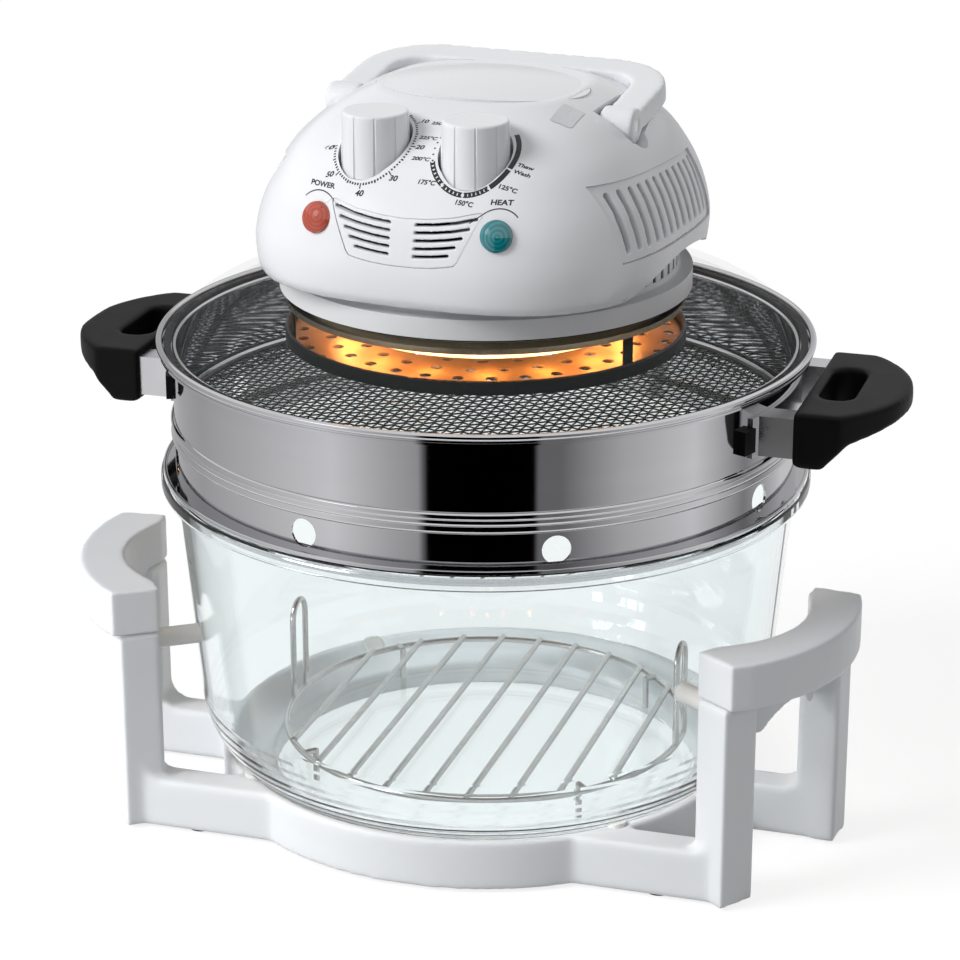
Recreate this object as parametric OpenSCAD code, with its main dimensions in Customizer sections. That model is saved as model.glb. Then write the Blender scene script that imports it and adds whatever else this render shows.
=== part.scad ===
// Countertop halogen oven: a glass bowl in a plastic stand, a steel extension ring with
// pot handles, and a lift-off glass lid that carries the heater, the fan and the controls.
// Millimetres. +Z is up, the front with the knobs faces -Y, and the bowl axis is the Z axis.
// The origin lies on that axis, on the surface that the stand's feet rest on.

/* [Stand] */
// Outer radius of the ring that carries the bowl
ring_base_r = 138; // [132:1:142]
// Width of that ring from its outer face to its bore
ring_base_w = 27; // [22:1:32]
// Height of the ring and its bars above the table
base_h = 27.5; // [25:0.5:30]
// How far the rubber feet stand out below the stand
foot_out = 1.5; // [1:0.1:3]
// Radius of a rubber foot
foot_r = 6; // [5:0.5:7]
// Wall of the stand moulding
base_wall = 3; // [2.5:0.1:4]
// Side of a square leg post
post_w = 21; // [16:0.5:22]
// Angle of the front leg posts from straight ahead
post_front_a = 55.6; // [53:0.1:58]
// Angle of the rear leg posts from straight ahead
post_rear_a = 83.7; // [81:0.1:88]
// Distance of the middle of a leg post outside the bowl's rim
post_out = 19; // [17:0.5:23]
// Height of the leg posts, where the grips sit
post_h = 106; // [95:1:115]
// Height of the grip that joins two posts
grip_h = 24; // [20:1:28]
// How far a grip stands out beyond the middle of its posts
grip_out = 24; // [20:1:28]
// Height of the bumper pegs on the front posts
peg_z = 99; // [85:1:102]

/* [Bowl] */
// Height of the bowl's underside above the table
bowl_z = 14; // [12:0.5:16]
// Radius of the flat underside of the bowl
bowl_flat_r = 100; // [96:1:104]
// Radius of the curve between underside and wall
bowl_corner_r = 48; // [44:1:52]
// Height of the bowl's rim above the table
bowl_rim_z = 176.5; // [170:0.5:182]
// Outer radius of the rolled glass rim
bowl_rim_r = 165; // [163:0.5:167]
// How far the rolled rim stands out from the bowl's wall
rim_out = 7.5; // [6:0.5:9]
// Height of the rolled glass rim
bowl_rim_h = 8; // [6:0.5:10]
// Wall of the glass bowl
glass_t = 4; // [3:0.5:5]

/* [Low rack] */
// Height of the low rack above the bowl's floor
rack_h = 16; // [12:1:24]
// Radius of the low rack
rack_r = 104; // [98:1:108]
// Wire radius of the low rack
rack_wire = 1.6; // [1.2:0.1:2.2]
// Spacing of its parallel wires
rack_pitch = 21; // [16:1:28]
// Height of its two lifting loops above the rack
rack_loop_h = 44; // [30:1:60]

/* [Extension ring] */
// Height of the ring from the bowl rim to its own rim
ring_h = 69.5; // [60:0.5:80]
// Sheet thickness of the ring
steel_t = 1.2; // [0.8:0.1:1.6]
// Height of the upper of the two swaged ridges above the bowl rim
ridge_z = 27; // [24:0.5:32]
// Number of vent holes round the ring
vent_n = 8; // [6:1:10]
// Diameter of a vent hole
vent_d = 14; // [10:0.5:15]
// Angle of the first vent hole from straight ahead
vent_a = 29; // [20:1:40]
// Spacing of the mesh rack's wires
mesh_pitch = 17; // [16:0.5:22]
// Width of the mesh rack's wires
mesh_w = 1.6; // [1.2:0.1:2.4]

/* [Pot handles] */
// Gap between the ring's wall and a handle's root
handle_gap = 10.5; // [9:0.5:13]
// Length of a handle from its root to its outer edge
handle_reach = 48; // [44:1:52]
// Half the length of a handle along the ring
handle_half = 52; // [48:1:56]
// Height of a handle at its root
handle_h = 28; // [24:1:30]
// Height of a handle at its outer edge
handle_edge_h = 12; // [10:1:15]
// Distance of the handle's top below the ring's rim
handle_drop = 12; // [10:0.5:14]
// Width of a finger hole across the handle
finger_w = 17; // [15:1:20]

/* [Lid glass] */
// Height of the lid's flat top above the ring's rim
lid_rise = 24.5; // [20:0.5:28]
// Radius of the hole in the lid glass
lid_hole_r = 90; // [86:1:94]
// Clockwise turn of the lid and head on the ring, seen from above
lid_turn = 5; // [0:0.5:8]

/* [Head] */
// Radius of the skirt under the head
skirt_r = 103; // [100:0.5:106]
// Height of the skirt's upright wall
skirt_h = 10; // [8:0.5:12]
// Radius of the slotted neck between skirt and housing
neck_r = 96; // [94:0.5:97]
// Half width of the head housing at its widest
head_w = 104; // [102:0.5:108]
// Half depth of the head housing at its widest
head_d = 108; // [106:0.5:112]
// Height of the head housing
head_h = 86; // [82:1:92]
// Wall of the head housing
shell_t = 2.6; // [2:0.1:3.2]
// Number of slots in each side of the neck
neck_slots = 7; // [5:1:9]
// Rise of the housing's lower edge at its sides
side_arch = 12; // [8:0.5:14]

/* [Controls] */
// Distance of each knob from the middle of the panel
knob_x = 25.5; // [24:0.5:28]
// Distance of the knobs in front of the bowl axis
knob_y = 76; // [74:0.5:78]
// Radius of a knob
knob_r = 16.5; // [14:0.5:17.5]
// Height of a knob above the floor of its well
knob_h = 30; // [26:0.5:32]
// Radius of a control shaft
shaft_r = 3; // [2.5:0.1:3.5]
// Radius of a signal lamp lens
lens_r = 7.5; // [6:0.5:9]

/* [Heater] */
// Radius of the circle in which the halogen lamp is bent
lamp_r = 72; // [68:1:76]
// Radius of the lamp's quartz tube
lamp_tube_r = 5; // [4:0.5:6]
// Curls of the lamp's filament
filament_turns = 88; // [60:1:100]
// Radius of the heater guard
guard_r = 100.5; // [96:0.5:101]
// Distance of the guard's floor below the lid's flat top
guard_drop = 25.5; // [24:0.5:28]

/* [Fan and motor] */
// Radius of the hot air fan
fan_r = 52; // [44:1:56]
// Blades of the hot air fan
fan_blades = 8; // [6:1:10]
// Radius of the motor's cooling fan
cool_r = 36; // [28:1:40]
// Blades of the cooling fan
cool_blades = 6; // [4:1:8]
// Side of the motor's square stator
motor_w = 58; // [50:1:64]

/* [Carry handle] */
// Half the distance between the two arms
bail_half = 72; // [70:0.5:74]
// Width of an arm and of the grip bar
bail_w = 17.5; // [14:0.5:18]
// Length of an arm from pivot to grip bar
bail_len = 62; // [58:0.5:66]
// Height of the pivots below the top of the housing
bail_drop = 14; // [12:0.5:16]
// Rise of the lowered handle from pivot to grip bar
bail_rest_a = 9; // [8:0.5:11]
// Thickness of the handle
bail_t = 11; // [9:0.5:12]

/* [Hidden] */

// Clearance between curved faces of pieces that lift apart
gap = 0.3;
// Radial clearance of a shaft in its bearing
run = 0.06;
// Radial clearance of a pin or shaft that is fixed in its hole
snug = 0.02;
// How far a cutter runs past the face that it cuts
over = 1;
$fn = 64;

// Radii that follow the bowl's rim
bowl_top_r = bowl_rim_r - rim_out;
ring_r = bowl_top_r;
post_r = bowl_rim_r + post_out;
grip_r = post_r + grip_out;
handle_root = ring_r + handle_gap;
handle_tip = handle_root + handle_reach;

// Levels
rim_low_z = bowl_rim_z - bowl_rim_h;
ring_z = bowl_rim_z + gap;
rim_z = bowl_rim_z + ring_h;
lid_top_z = rim_z + lid_rise;
lid_under_z = lid_top_z - glass_t;
gasket_t = 0.8;
skirt_z = lid_top_z + gasket_t;
skirt_floor_t = 3;
floor_z = skirt_z + skirt_floor_t;
head_z = skirt_z + skirt_h + 4.7;
head_top_z = head_z + head_h;

// Points along an arc, a straight-sided bend and a superellipse
function arc(c, r, a0, a1, n) =
  [for (i = [0:n]) let (a = a0 + (a1 - a0) * i / n) c + r * [cos(a), sin(a)]];
function bend(p, q, r, n) =
  [for (i = [0:n]) let (t = i / n) (1 - t) * (1 - t) * p + 2 * t * (1 - t) * q + t * t * r];
function spread(u, power) = sign(u) * pow(abs(u), 2 / power);
function polar(r, a) = [r * sin(a), -r * cos(a)];

// Children repeated at an angle from straight ahead, and on both sides
module at_angle(r, a) { translate([r * sin(a), -r * cos(a), 0]) rotate(a) children(); }
module both() { children(); mirror([1, 0, 0]) children(); }
// The lid's pieces are drawn straight, then turned together
module turned() { rotate(-lid_turn) children(); }

// Stand

post_at = [polar(post_r, post_front_a), polar(post_r, post_rear_a)];
bar_w = post_w - 2;
bolt_r = 2;
bolt_head_r = 3.8;
pad_r = 5.5;
pad_at = [46, 134, 226, 314];
front_foot_x = 120;
feet_at = [[front_foot_x, post_at[0][1]], [-front_foot_x, post_at[0][1]],
  polar(ring_base_r - ring_base_w / 2, 140), polar(ring_base_r - ring_base_w / 2, 220)];

// The bowl's outer form from the axis to under the rim, grown by d
function bowl_side(d) = concat([[0, bowl_z - d]],
  arc([bowl_flat_r, bowl_z + bowl_corner_r], bowl_corner_r + d, -90, 0, 14),
  [[bowl_top_r + d, rim_low_z], [0, rim_low_z]]);
module bowl_form(d) { rotate_extrude($fn = 128) polygon(bowl_side(d)); }

// A corner of a post: side 1 is its rear side, out 1 its outer face
function post_corner(a, side, out) =
  polar(post_r + out * post_w / 2, a) + side * post_w / 2 * [cos(a), sin(a)];

// A straight bar that runs along X from the ring to a post, and the fillet on it
fillet_in = [4, 9];
function bar_start(p) = sqrt(pow(ring_base_r, 2) - pow(abs(p[1]) + bar_w / 2, 2)) - base_wall;
module leg_bar(i) {
  p = post_at[i];
  fillet = 12;
  translate([bar_start(p), p[1] - bar_w / 2, foot_out])
    cube([p[0] - bar_start(p), bar_w, base_h - foot_out]);
  translate([p[0] - fillet_in[i], p[1] + bar_w / 2, base_h]) rotate([90, 0, 0])
    linear_extrude(bar_w) difference() {
      translate([-fillet, 0]) square(fillet);
      translate([-fillet, fillet]) circle(fillet);
    }
}
module base_stand() {
  color("gainsboro") difference() {
    union() {
      rotate_extrude($fn = 128) translate([ring_base_r - ring_base_w, foot_out])
        square([ring_base_w, base_h - foot_out]);
      both() for (i = [0, 1]) {
        leg_bar(i);
        at_angle(post_r, i == 0 ? post_front_a : post_rear_a)
          translate([-post_w / 2, -post_w / 2, foot_out]) cube([post_w, post_w, post_h - foot_out]);
      }
    }
    bowl_form(gap);
    // Open underside of the ring, closed round the rear feet
    difference() {
      rotate_extrude($fn = 128) difference() {
        translate([ring_base_r - ring_base_w + base_wall, 0])
          square([ring_base_w - 2 * base_wall, base_h - base_wall]);
        polygon(bowl_side(gap + base_wall));
      }
      for (f = feet_at) translate(f) cylinder(r = foot_r + base_wall, h = base_h);
      both() for (p = post_at) translate([bar_start(p), p[1] - bar_w / 2, 0])
        cube([ring_base_r - bar_start(p) + over, bar_w, base_h]);
    }
    for (f = feet_at) translate(f) cylinder(r = foot_r + 0.05, h = foot_out + 2);
    for (a = pad_at) at_angle(ring_base_r - pad_r - 1, a)
      translate([0, 0, base_h - 5]) cylinder(r = pad_r + 0.05, h = 6);
    both() {
      for (p = post_at) translate(p) {
        cylinder(r = bolt_r + 0.3, h = post_h + over);
        cylinder(r = bolt_head_r + 0.4, h = foot_out + 4);
      }
      at_angle(0, post_front_a) translate([0, -post_r, peg_z]) rotate([-90, 0, 0])
        cylinder(r = pad_r - 0.45, h = post_w);
    }
  }
}
// Crescent grip that sits on the two posts of one side, with a curved web under it
module stand_grip() {
  inner_r = post_r - post_w / 2;
  outer_r = post_r + post_w / 2;
  span = post_rear_a - post_front_a;
  end_a = asin(post_w / 2 / inner_r);
  steps = 12;
  bow = 12;
  web_t = 4;
  web_h = 24;
  web_gap_a = 0.35;
  arch_r = 26;
  arch_top = 12;
  difference() {
    union() {
      // The crescent, flush with the posts at both ends
      translate([0, 0, post_h]) linear_extrude(grip_h) polygon(concat(
        [for (i = [steps:-1:0]) let (t = i / steps)
          polar(inner_r + bow * sin(180 * t), post_front_a + span * t)],
        [post_corner(post_front_a, -1, -1)],
        [for (i = [0:steps]) let (t = i / steps)
          polar(outer_r + (grip_r - outer_r) * pow(sin(8 + 164 * t), 0.7),
            post_front_a - end_a + 0.4 + (span + 2 * end_a - 0.8) * t)],
        [post_corner(post_rear_a, 1, -1)]));
      // The web under its inner edge
      translate([0, 0, post_h - web_h]) linear_extrude(web_h + over) polygon([
        for (k = [0, 1], i = [0:steps]) let (
            t = k == 0 ? i / steps : 1 - i / steps,
            a = post_front_a + end_a + web_gap_a + (span - 2 * end_a - 2 * web_gap_a) * t)
          polar(inner_r + bow * sin(180 * (a - post_front_a) / span) + k * web_t, a)]);
    }
    // Arch cut from the web between the posts
    mid = (post_front_a + post_rear_a) / 2;
    at_angle(post_r, mid) translate([0, -2 * post_w, post_h - arch_top - arch_r]) rotate([-90, 0, 0])
      cylinder(r = arch_r, h = 4 * post_w);
    for (p = post_at) translate([p[0], p[1], post_h - over])
      cylinder(r = bolt_r + 0.05, h = 14);
  }
}
module stand_grip_right() { color("gainsboro") stand_grip(); }
module stand_grip_left() { color("gainsboro") mirror([1, 0, 0]) stand_grip(); }
module bumper_pads() {
  color("white") difference() {
    for (a = pad_at) at_angle(ring_base_r - pad_r - 1, a)
      translate([0, 0, base_h - 5]) cylinder(r = pad_r, h = 6.2);
    bowl_form(gap - 0.05);
  }
}
module bumper_pegs() {
  color("white") difference() {
    both() at_angle(0, post_front_a) translate([0, -post_r + 2, peg_z]) rotate([-90, 0, 0])
      cylinder(r = pad_r - 0.5, h = post_r - bowl_flat_r);
    bowl_form(gap);
  }
}
module rubber_feet() {
  color("dimgray") for (f = feet_at) translate(f) cylinder(r = foot_r, h = foot_out + 2);
}
module stand_bolts() {
  color("silver") both() for (p = post_at) translate([p[0], p[1], foot_out + 1]) {
    cylinder(r = bolt_head_r, h = 3);
    cylinder(r = bolt_r, h = post_h - foot_out + 10);
  }
}

// Bowl and low rack

module glass_bowl() {
  edge = 2;
  color("lightcyan", 0.4) rotate_extrude($fn = 128) polygon(concat(
    [[0, bowl_z]],
    arc([bowl_flat_r, bowl_z + bowl_corner_r], bowl_corner_r, -90, 0, 14),
    [[bowl_top_r, rim_low_z]],
    arc([bowl_rim_r - edge, rim_low_z + edge], edge, -90, 0, 4),
    arc([bowl_rim_r - edge, bowl_rim_z - edge], edge, 0, 90, 4),
    [[bowl_top_r - glass_t + edge, bowl_rim_z], [bowl_top_r - glass_t, bowl_rim_z - edge]],
    arc([bowl_flat_r, bowl_z + bowl_corner_r], bowl_corner_r - glass_t, 0, -90, 14),
    [[0, bowl_z + glass_t]]));
}
module wire(p, q, r) {
  v = q - p;
  len = norm(v);
  translate(p) rotate([0, acos(v[2] / len), atan2(v[1], v[0])]) cylinder(r = r, h = len, $fn = 16);
}
module low_rack() {
  z = bowl_z + glass_t + gap + rack_h;
  loop_w = 9;
  color("silver") {
    translate([0, 0, z]) rotate_extrude($fn = 96) translate([rack_r, 0]) circle(rack_wire, $fn = 16);
    // Parallel wires, let into the ring at both ends
    rows = floor((rack_r - 6) / rack_pitch);
    for (i = [-rows:rows]) let (x = i * rack_pitch, y = sqrt(rack_r * rack_r - x * x))
      wire([x, -y, z + rack_wire], [x, y, z + rack_wire], rack_wire);
    for (a = [45:90:315]) let (p = polar(rack_r - 6, a))
      wire([p[0], p[1], bowl_z + glass_t + gap], [p[0], p[1], z + rack_wire], rack_wire);
    for (a = [45:90:315]) let (p = polar(rack_r - 6, a), q = polar(rack_r, a), h = z + rack_wire / 2)
      wire([p[0], p[1], h], [q[0], q[1], h], rack_wire);
    both() {
      for (s = [-1, 1]) wire([rack_r, s * loop_w, z], [rack_r, s * loop_w, z + rack_loop_h], rack_wire);
      translate([rack_r, 0, z + rack_loop_h]) rotate([90, 0, 90]) rotate_extrude(angle = 180)
        translate([loop_w, 0]) circle(rack_wire, $fn = 16);
    }
  }
}

// Extension ring

collar_r = bowl_top_r - glass_t - 0.8;
flange_r = bowl_rim_r - 1;
land_z = rim_z - 5.6;
rim_bead = 1.7;
rim_r = bowl_rim_r + 0.5;
inner_bead = 1.2;
ledge_z = bowl_rim_z + ridge_z - 3;
mesh_r = ring_r - steel_t - 2.2;
mesh_wire = 1.5;

module extension_ring() {
  color("silver") difference() {
    rotate_extrude($fn = 128) {
      translate([ring_r - steel_t, ring_z]) square([steel_t, land_z + steel_t - ring_z]);
      translate([collar_r - steel_t, ring_z]) square([flange_r - collar_r + steel_t - 1, steel_t]);
      translate([flange_r - 1.1, ring_z + 1.1]) circle(1.1, $fn = 24);
      translate([collar_r - steel_t, ring_z - 8]) square([steel_t, 8 + steel_t]);
      // Two swaged ridges outside, and the ledge that carries the mesh rack inside
      for (dz = [0, -6.4]) translate([ring_r - 0.6, bowl_rim_z + ridge_z + dz]) circle(2.3, $fn = 32);
      translate([ring_r - steel_t, ledge_z]) circle(2.4, $fn = 32);
      // Stepped rim with a bead on each edge
      translate([ring_r - steel_t, land_z]) square([rim_r - ring_r, steel_t]);
      translate([rim_r - 2 * rim_bead + 0.6, land_z]) square([steel_t, rim_z - rim_bead - land_z]);
      translate([rim_r - rim_bead, rim_z - rim_bead]) circle(rim_bead, $fn = 32);
      translate([ring_r - steel_t, land_z + inner_bead]) circle(inner_bead, $fn = 24);
    }
    for (i = [0:vent_n - 1]) at_angle(0, vent_a + i * 360 / vent_n)
      translate([0, -ring_r + 8, ring_z + steel_t + vent_d / 2 + 1.2]) rotate([90, 0, 0])
        cylinder(d = vent_d, h = 16);
  }
}
module mesh_rack() {
  z = ledge_z + 2.4 + gap;
  color("silver") {
    translate([0, 0, z + mesh_wire - 0.6]) rotate_extrude($fn = 128) translate([mesh_r - mesh_wire, 0])
      circle(mesh_wire, $fn = 20);
    translate([0, 0, z]) linear_extrude(mesh_w) intersection() {
      circle(mesh_r - mesh_wire, $fn = 128);
      n = floor(mesh_r / mesh_pitch);
      union() for (i = [-n:n], turn = [0, 90]) rotate(turn)
        translate([i * mesh_pitch - mesh_w / 2, -mesh_r]) square([mesh_w, 2 * mesh_r]);
    }
  }
}

// Pot handles

handle_top_z = rim_z - handle_drop;
bracket_z = handle_top_z - handle_h + 4;
bracket_h = handle_h - 8;
arm_w = 14;
arm_y = handle_half - arm_w - 3;
strap_t = 1.5;
strap_a = 20;
spacer_a = 3.2;
handle_screw_r = 1.8;

// A strap that follows the ring's wall, from angle a0 to a1 on the right side
module strap(a0, a1, z, h, t) {
  rotate([0, 0, a0]) translate([0, 0, z]) rotate_extrude(angle = a1 - a0, $fn = 128)
    translate([ring_r + 0.02, 0]) square([t, h]);
}
module handle_bracket() {
  color("silver") difference() {
    union() {
      strap(-strap_a, strap_a, bracket_z, bracket_h, strap_t);
      for (s = [-1, 1]) intersection() {
        translate([ring_r * cos(strap_a) - 6, s * (arm_y + arm_w / 2) - arm_w / 2, bracket_z])
          cube([handle_root - ring_r * cos(strap_a) + 6, arm_w, bracket_h]);
        difference() {
          cylinder(r = handle_root + 20, h = rim_z, $fn = 128);
          cylinder(r = ring_r + 0.02, h = rim_z, $fn = 128);
        }
      }
    }
    for (s = [-1, 1]) translate([ring_r - 12, s * (arm_y + arm_w / 2), bracket_z + bracket_h / 2])
      rotate([0, 90, 0]) cylinder(r = handle_screw_r + 0.05, h = 40);
  }
}
module handle_bracket_right() { handle_bracket(); }
module handle_bracket_left() { mirror([1, 0, 0]) handle_bracket(); }

handle_curve_r = 66;
finger_in = 6;
finger_side = 13;
module pot_handle() {
  color("black") difference() {
    intersection() {
      // Outline seen from above
      translate([0, 0, handle_top_z - handle_h]) linear_extrude(handle_h) intersection() {
        translate([handle_root, -handle_half]) square([handle_tip - handle_root, 2 * handle_half]);
        translate([handle_tip - handle_curve_r, 0]) circle(handle_curve_r, $fn = 96);
      }
      // Side view: deep at the root, thin at the tip
      rotate([90, 0, 0]) linear_extrude(2 * handle_half + 2, center = true) polygon([
        [handle_root - 1, handle_top_z - handle_h + 2], [handle_root + 4, handle_top_z - handle_h],
        [handle_root + 14, handle_top_z - handle_h], [handle_root + 26, handle_top_z - handle_edge_h - 3],
        [handle_tip, handle_top_z - handle_edge_h + 2], [handle_tip + 1, handle_top_z - 3],
        [handle_tip - 3, handle_top_z], [handle_root - 1, handle_top_z]]);
    }
    // Finger hole with round ends
    hole_x = handle_root + finger_in + finger_w / 2;
    hole_half = handle_half - arm_w - finger_side - finger_w / 2;
    translate([hole_x, 0, handle_top_z - handle_h - over]) linear_extrude(handle_h + 2 * over) {
      square([finger_w, 2 * hole_half], center = true);
      for (s = [-1, 1]) translate([0, s * hole_half]) circle(finger_w / 2);
    }
    for (s = [-1, 1]) translate([handle_root - over, s * (arm_y + arm_w / 2), bracket_z + bracket_h / 2])
      rotate([0, 90, 0]) cylinder(r = handle_screw_r + 0.05, h = 12 + over);
  }
}
module pot_handle_right() { pot_handle(); }
module pot_handle_left() { mirror([1, 0, 0]) pot_handle(); }
module handle_spacers() {
  color("black") both() for (s = [-1, 1]) rotate(s * (strap_a + spacer_a / 2 + 0.1))
    strap(-spacer_a / 2, spacer_a / 2, bracket_z + 4, bracket_h - 8, 3.5);
}
module handle_screws() {
  screw_y = arm_y + arm_w / 2;
  start_x = sqrt(pow(ring_r, 2) - pow(screw_y - handle_screw_r, 2)) + gap;
  color("silver") both() for (s = [-1, 1])
    translate([start_x, s * screw_y, bracket_z + bracket_h / 2]) rotate([0, 90, 0])
      cylinder(r = handle_screw_r, h = handle_root + 10 - start_x);
}

// Lid glass and its seals

lid_flat_r = skirt_r + 1;
lid_edge_r = rim_r - 2 * rim_bead - 0.6;
seal_z = land_z + steel_t + gap;
lid_edge_z = seal_z + 2;

module lid_glass() {
  lip = 3.4;
  knee = lid_flat_r + 36;
  color("lightcyan", 0.3) rotate_extrude($fn = 128) polygon(concat(
    [[lid_hole_r, lid_under_z]],
    bend([lid_flat_r, lid_under_z], [knee - 1.5, lid_under_z], [lid_edge_r - lip, lid_edge_z], 10),
    [[lid_edge_r - 0.3, lid_edge_z]],
    bend([lid_edge_r - 0.3, lid_edge_z + 2], [knee, lid_top_z], [lid_flat_r, lid_top_z], 10),
    [[lid_hole_r, lid_top_z]]));
}
module lid_edge_seal() {
  color("black") rotate_extrude($fn = 128)
    translate([lid_edge_r - 3.4, seal_z]) square([3.4, lid_edge_z - seal_z]);
}
module head_gasket() {
  color("black") rotate_extrude($fn = 128)
    translate([lid_hole_r + 1, lid_top_z]) square([skirt_r - lid_hole_r - 2, gasket_t]);
}

// Head: skirt, housing and its covers

post_x = 62;
post_y = 58;
screw_r = 2;
boss_r = 5.5;
boss_split_z = floor_z + 26;
hub_hole_r = 9;
neck_t = 2.4;
neck_top_z = head_z + side_arch + 4;
reflector_screw_r = 80;

module head_posts(r, z0, z1) {
  for (sx = [-1, 1], sy = [-1, 1]) translate([sx * post_x, sy * post_y, z0])
    cylinder(r = r, h = z1 - z0);
}
module reflector_posts(r, z0, z1) {
  for (a = [0:90:270]) at_angle(reflector_screw_r, a) translate([0, 0, z0])
    cylinder(r = r, h = z1 - z0);
}
module head_skirt() {
  color("whitesmoke") turned() difference() {
    union() {
      rotate_extrude($fn = 128) {
        translate([hub_hole_r, skirt_z]) square([skirt_r - hub_hole_r - 1, skirt_floor_t]);
        translate([skirt_r - neck_t, skirt_z]) square([neck_t, skirt_h]);
        // Stepped shoulder from the upright wall in to the neck
        top = skirt_z + skirt_h;
        polygon(concat([[neck_r - neck_t, top - neck_t], [skirt_r, top - neck_t]],
          bend([skirt_r, top], [neck_r, top], [neck_r, top + 2.5], 5),
          [[neck_r - neck_t, top + 2.5]]));
        translate([neck_r - neck_t, skirt_z + skirt_h]) square([neck_t, neck_top_z - skirt_z - skirt_h]);
      }
      head_posts(boss_r, skirt_z + over, boss_split_z);
    }
    head_posts(screw_r + 0.2, skirt_z - over, boss_split_z + over);
    head_posts(4.2, skirt_z - over, skirt_z + 1.6);
    reflector_posts(screw_r + 0.05, skirt_z - over, floor_z + over);
    // Upright slots on both sides
    slot_z = skirt_z + skirt_h + 3;
    for (s = [-1, 1], i = [0:neck_slots - 1]) let (a = s * (90 + 5 * (i - (neck_slots - 1) / 2)))
      at_angle(0, a) translate([-1.5, -neck_r - 3, slot_z]) cube([3, 8, 12]);
  }
}

// Stations of the housing from its lower edge up: share of the rise, of the half width,
// of the half depth in front and of the half depth behind
stations = [
  [0.00, 0.970, 0.972, 0.972], [0.05, 0.990, 0.990, 0.990], [0.20, 1.000, 1.000, 1.000],
  [0.34, 0.980, 0.986, 0.990], [0.48, 0.940, 0.957, 0.963], [0.60, 0.888, 0.907, 0.920],
  [0.72, 0.824, 0.834, 0.852], [0.81, 0.752, 0.741, 0.770], [0.89, 0.668, 0.630, 0.657],
  [0.95, 0.577, 0.519, 0.540], [1.00, 0.480, 0.417, 0.426]];
head_power = 2.9;
head_points = 44;
roof_t = 5;

// One closed curve round the housing at a station, drawn in by d and lowered in step
function section(s, d, lower) = let (
    z = head_z + s[0] * (head_h - lower) - (d > 0 && s[0] == 0 ? over : 0),
    a = s[1] * head_w - d, f = s[2] * head_d - d, b = s[3] * head_d - d)
  [for (k = [0:head_points - 1]) let (t = 360 * k / head_points)
    [a * spread(cos(t), head_power), (b - f) / 2 + (b + f) / 2 * spread(sin(t), head_power), z]];
module head_form(d = 0, lower = 0) {
  rings = [for (s = stations) section(s, d, lower)];
  n = head_points;
  m = len(rings);
  polyhedron(points = [for (r = rings) each r], faces = concat(
    [[for (k = [0:n - 1]) k]], [[for (k = [n - 1:-1:0]) (m - 1) * n + k]],
    [for (j = [0:m - 2], k = [0:n - 1]) [j * n + k, (j + 1) * n + k, (j + 1) * n + (k + 1) % n]],
    [for (j = [0:m - 2], k = [0:n - 1]) [j * n + k, (j + 1) * n + (k + 1) % n, j * n + (k + 1) % n]]));
}
// Where the front of the housing lies at height z and distance x from the middle
function front_y(x, z) = let (u = (z - head_z) / head_h,
    a = head_w * lookup(u, [for (s = stations) [s[0], s[1]]]),
    f = head_d * lookup(u, [for (s = stations) [s[0], s[2]]]))
  -f * pow(1 - pow(abs(x) / a, head_power), 1 / head_power);
// Height of the sloping panel at distance y in front of the axis
function panel_z(y) = head_z
  + head_h * lookup(y / head_d, [for (i = [len(stations) - 1:-1:2]) [stations[i][2], stations[i][0]]]);

// Knob wells: upright and round, with a level floor just under their front lip
well_gap = 1.2;
well_lip = 1.5;
well_wall = 2.5;
well_floor_t = 5;
well_z = panel_z(knob_y + knob_r + well_gap) - well_lip;
module at_knob(side) { translate([side * knob_x, -knob_y, well_z]) children(); }

// Signal lamps
lens_z = head_z + 38;
lens_at = [-45.5, 45.5];
lens_lean = 20;
module at_lens(i) {
  translate([lens_at[i], front_y(lens_at[i], lens_z), lens_z]) rotate([90 - lens_lean, 0, 0])
    rotate([0, lens_at[i] / 5, 0]) children();
}

// Vents: the front panel is a tapering plate, the side panels are leaning plates
front_vent_top = [39, head_z + 48];
front_vent_low = [27, head_z + 22.5];
front_vent_sag = 5.5;
vent_depth = 3;
// Height to which a level line of the front vent sags at distance x from the middle
function sagged(z, x) = z - front_vent_sag * (1 - pow(x / front_vent_top[0], 2));
module front_vent_outline(d) {
  corner = 3;
  low = front_vent_low + [d, -d];
  top = front_vent_top + [d, d];
  edge = corner * (top - low) / norm(top - low);
  half = concat(bend(low - [corner, 0], low, low + edge, 2),
    bend(top - edge, top, [top[0] - corner, sagged(top[1], top[0] - corner)], 2));
  translate([0, -head_d + 38, 0]) rotate([90, 0, 0]) linear_extrude(60) polygon(concat(
    half,
    [for (x = [24:-12:-24]) [x, sagged(top[1], x)]],
    [for (i = [len(half) - 1:-1:0]) [-half[i][0], half[i][1]]],
    [for (x = [-16:8:16]) [x, low[1] - 2 * (1 - pow(x / low[0], 2))]]));
}
side_vent = [[-64, head_z + 20], [50, head_z + 17], [44, head_z + 51], [-66, head_z + 56]];
module side_vent_outline(d) {
  grow = [[-d, -d], [d, -d], [d, d], [-d, d]];
  translate([head_w - 34, 0, 0]) rotate([90, 0, 90]) linear_extrude(60) polygon(side_vent + grow);
}
module housing_skin(out, t) {
  difference() {
    head_form(out, out);
    head_form(out + t, out + t);
  }
}

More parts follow.
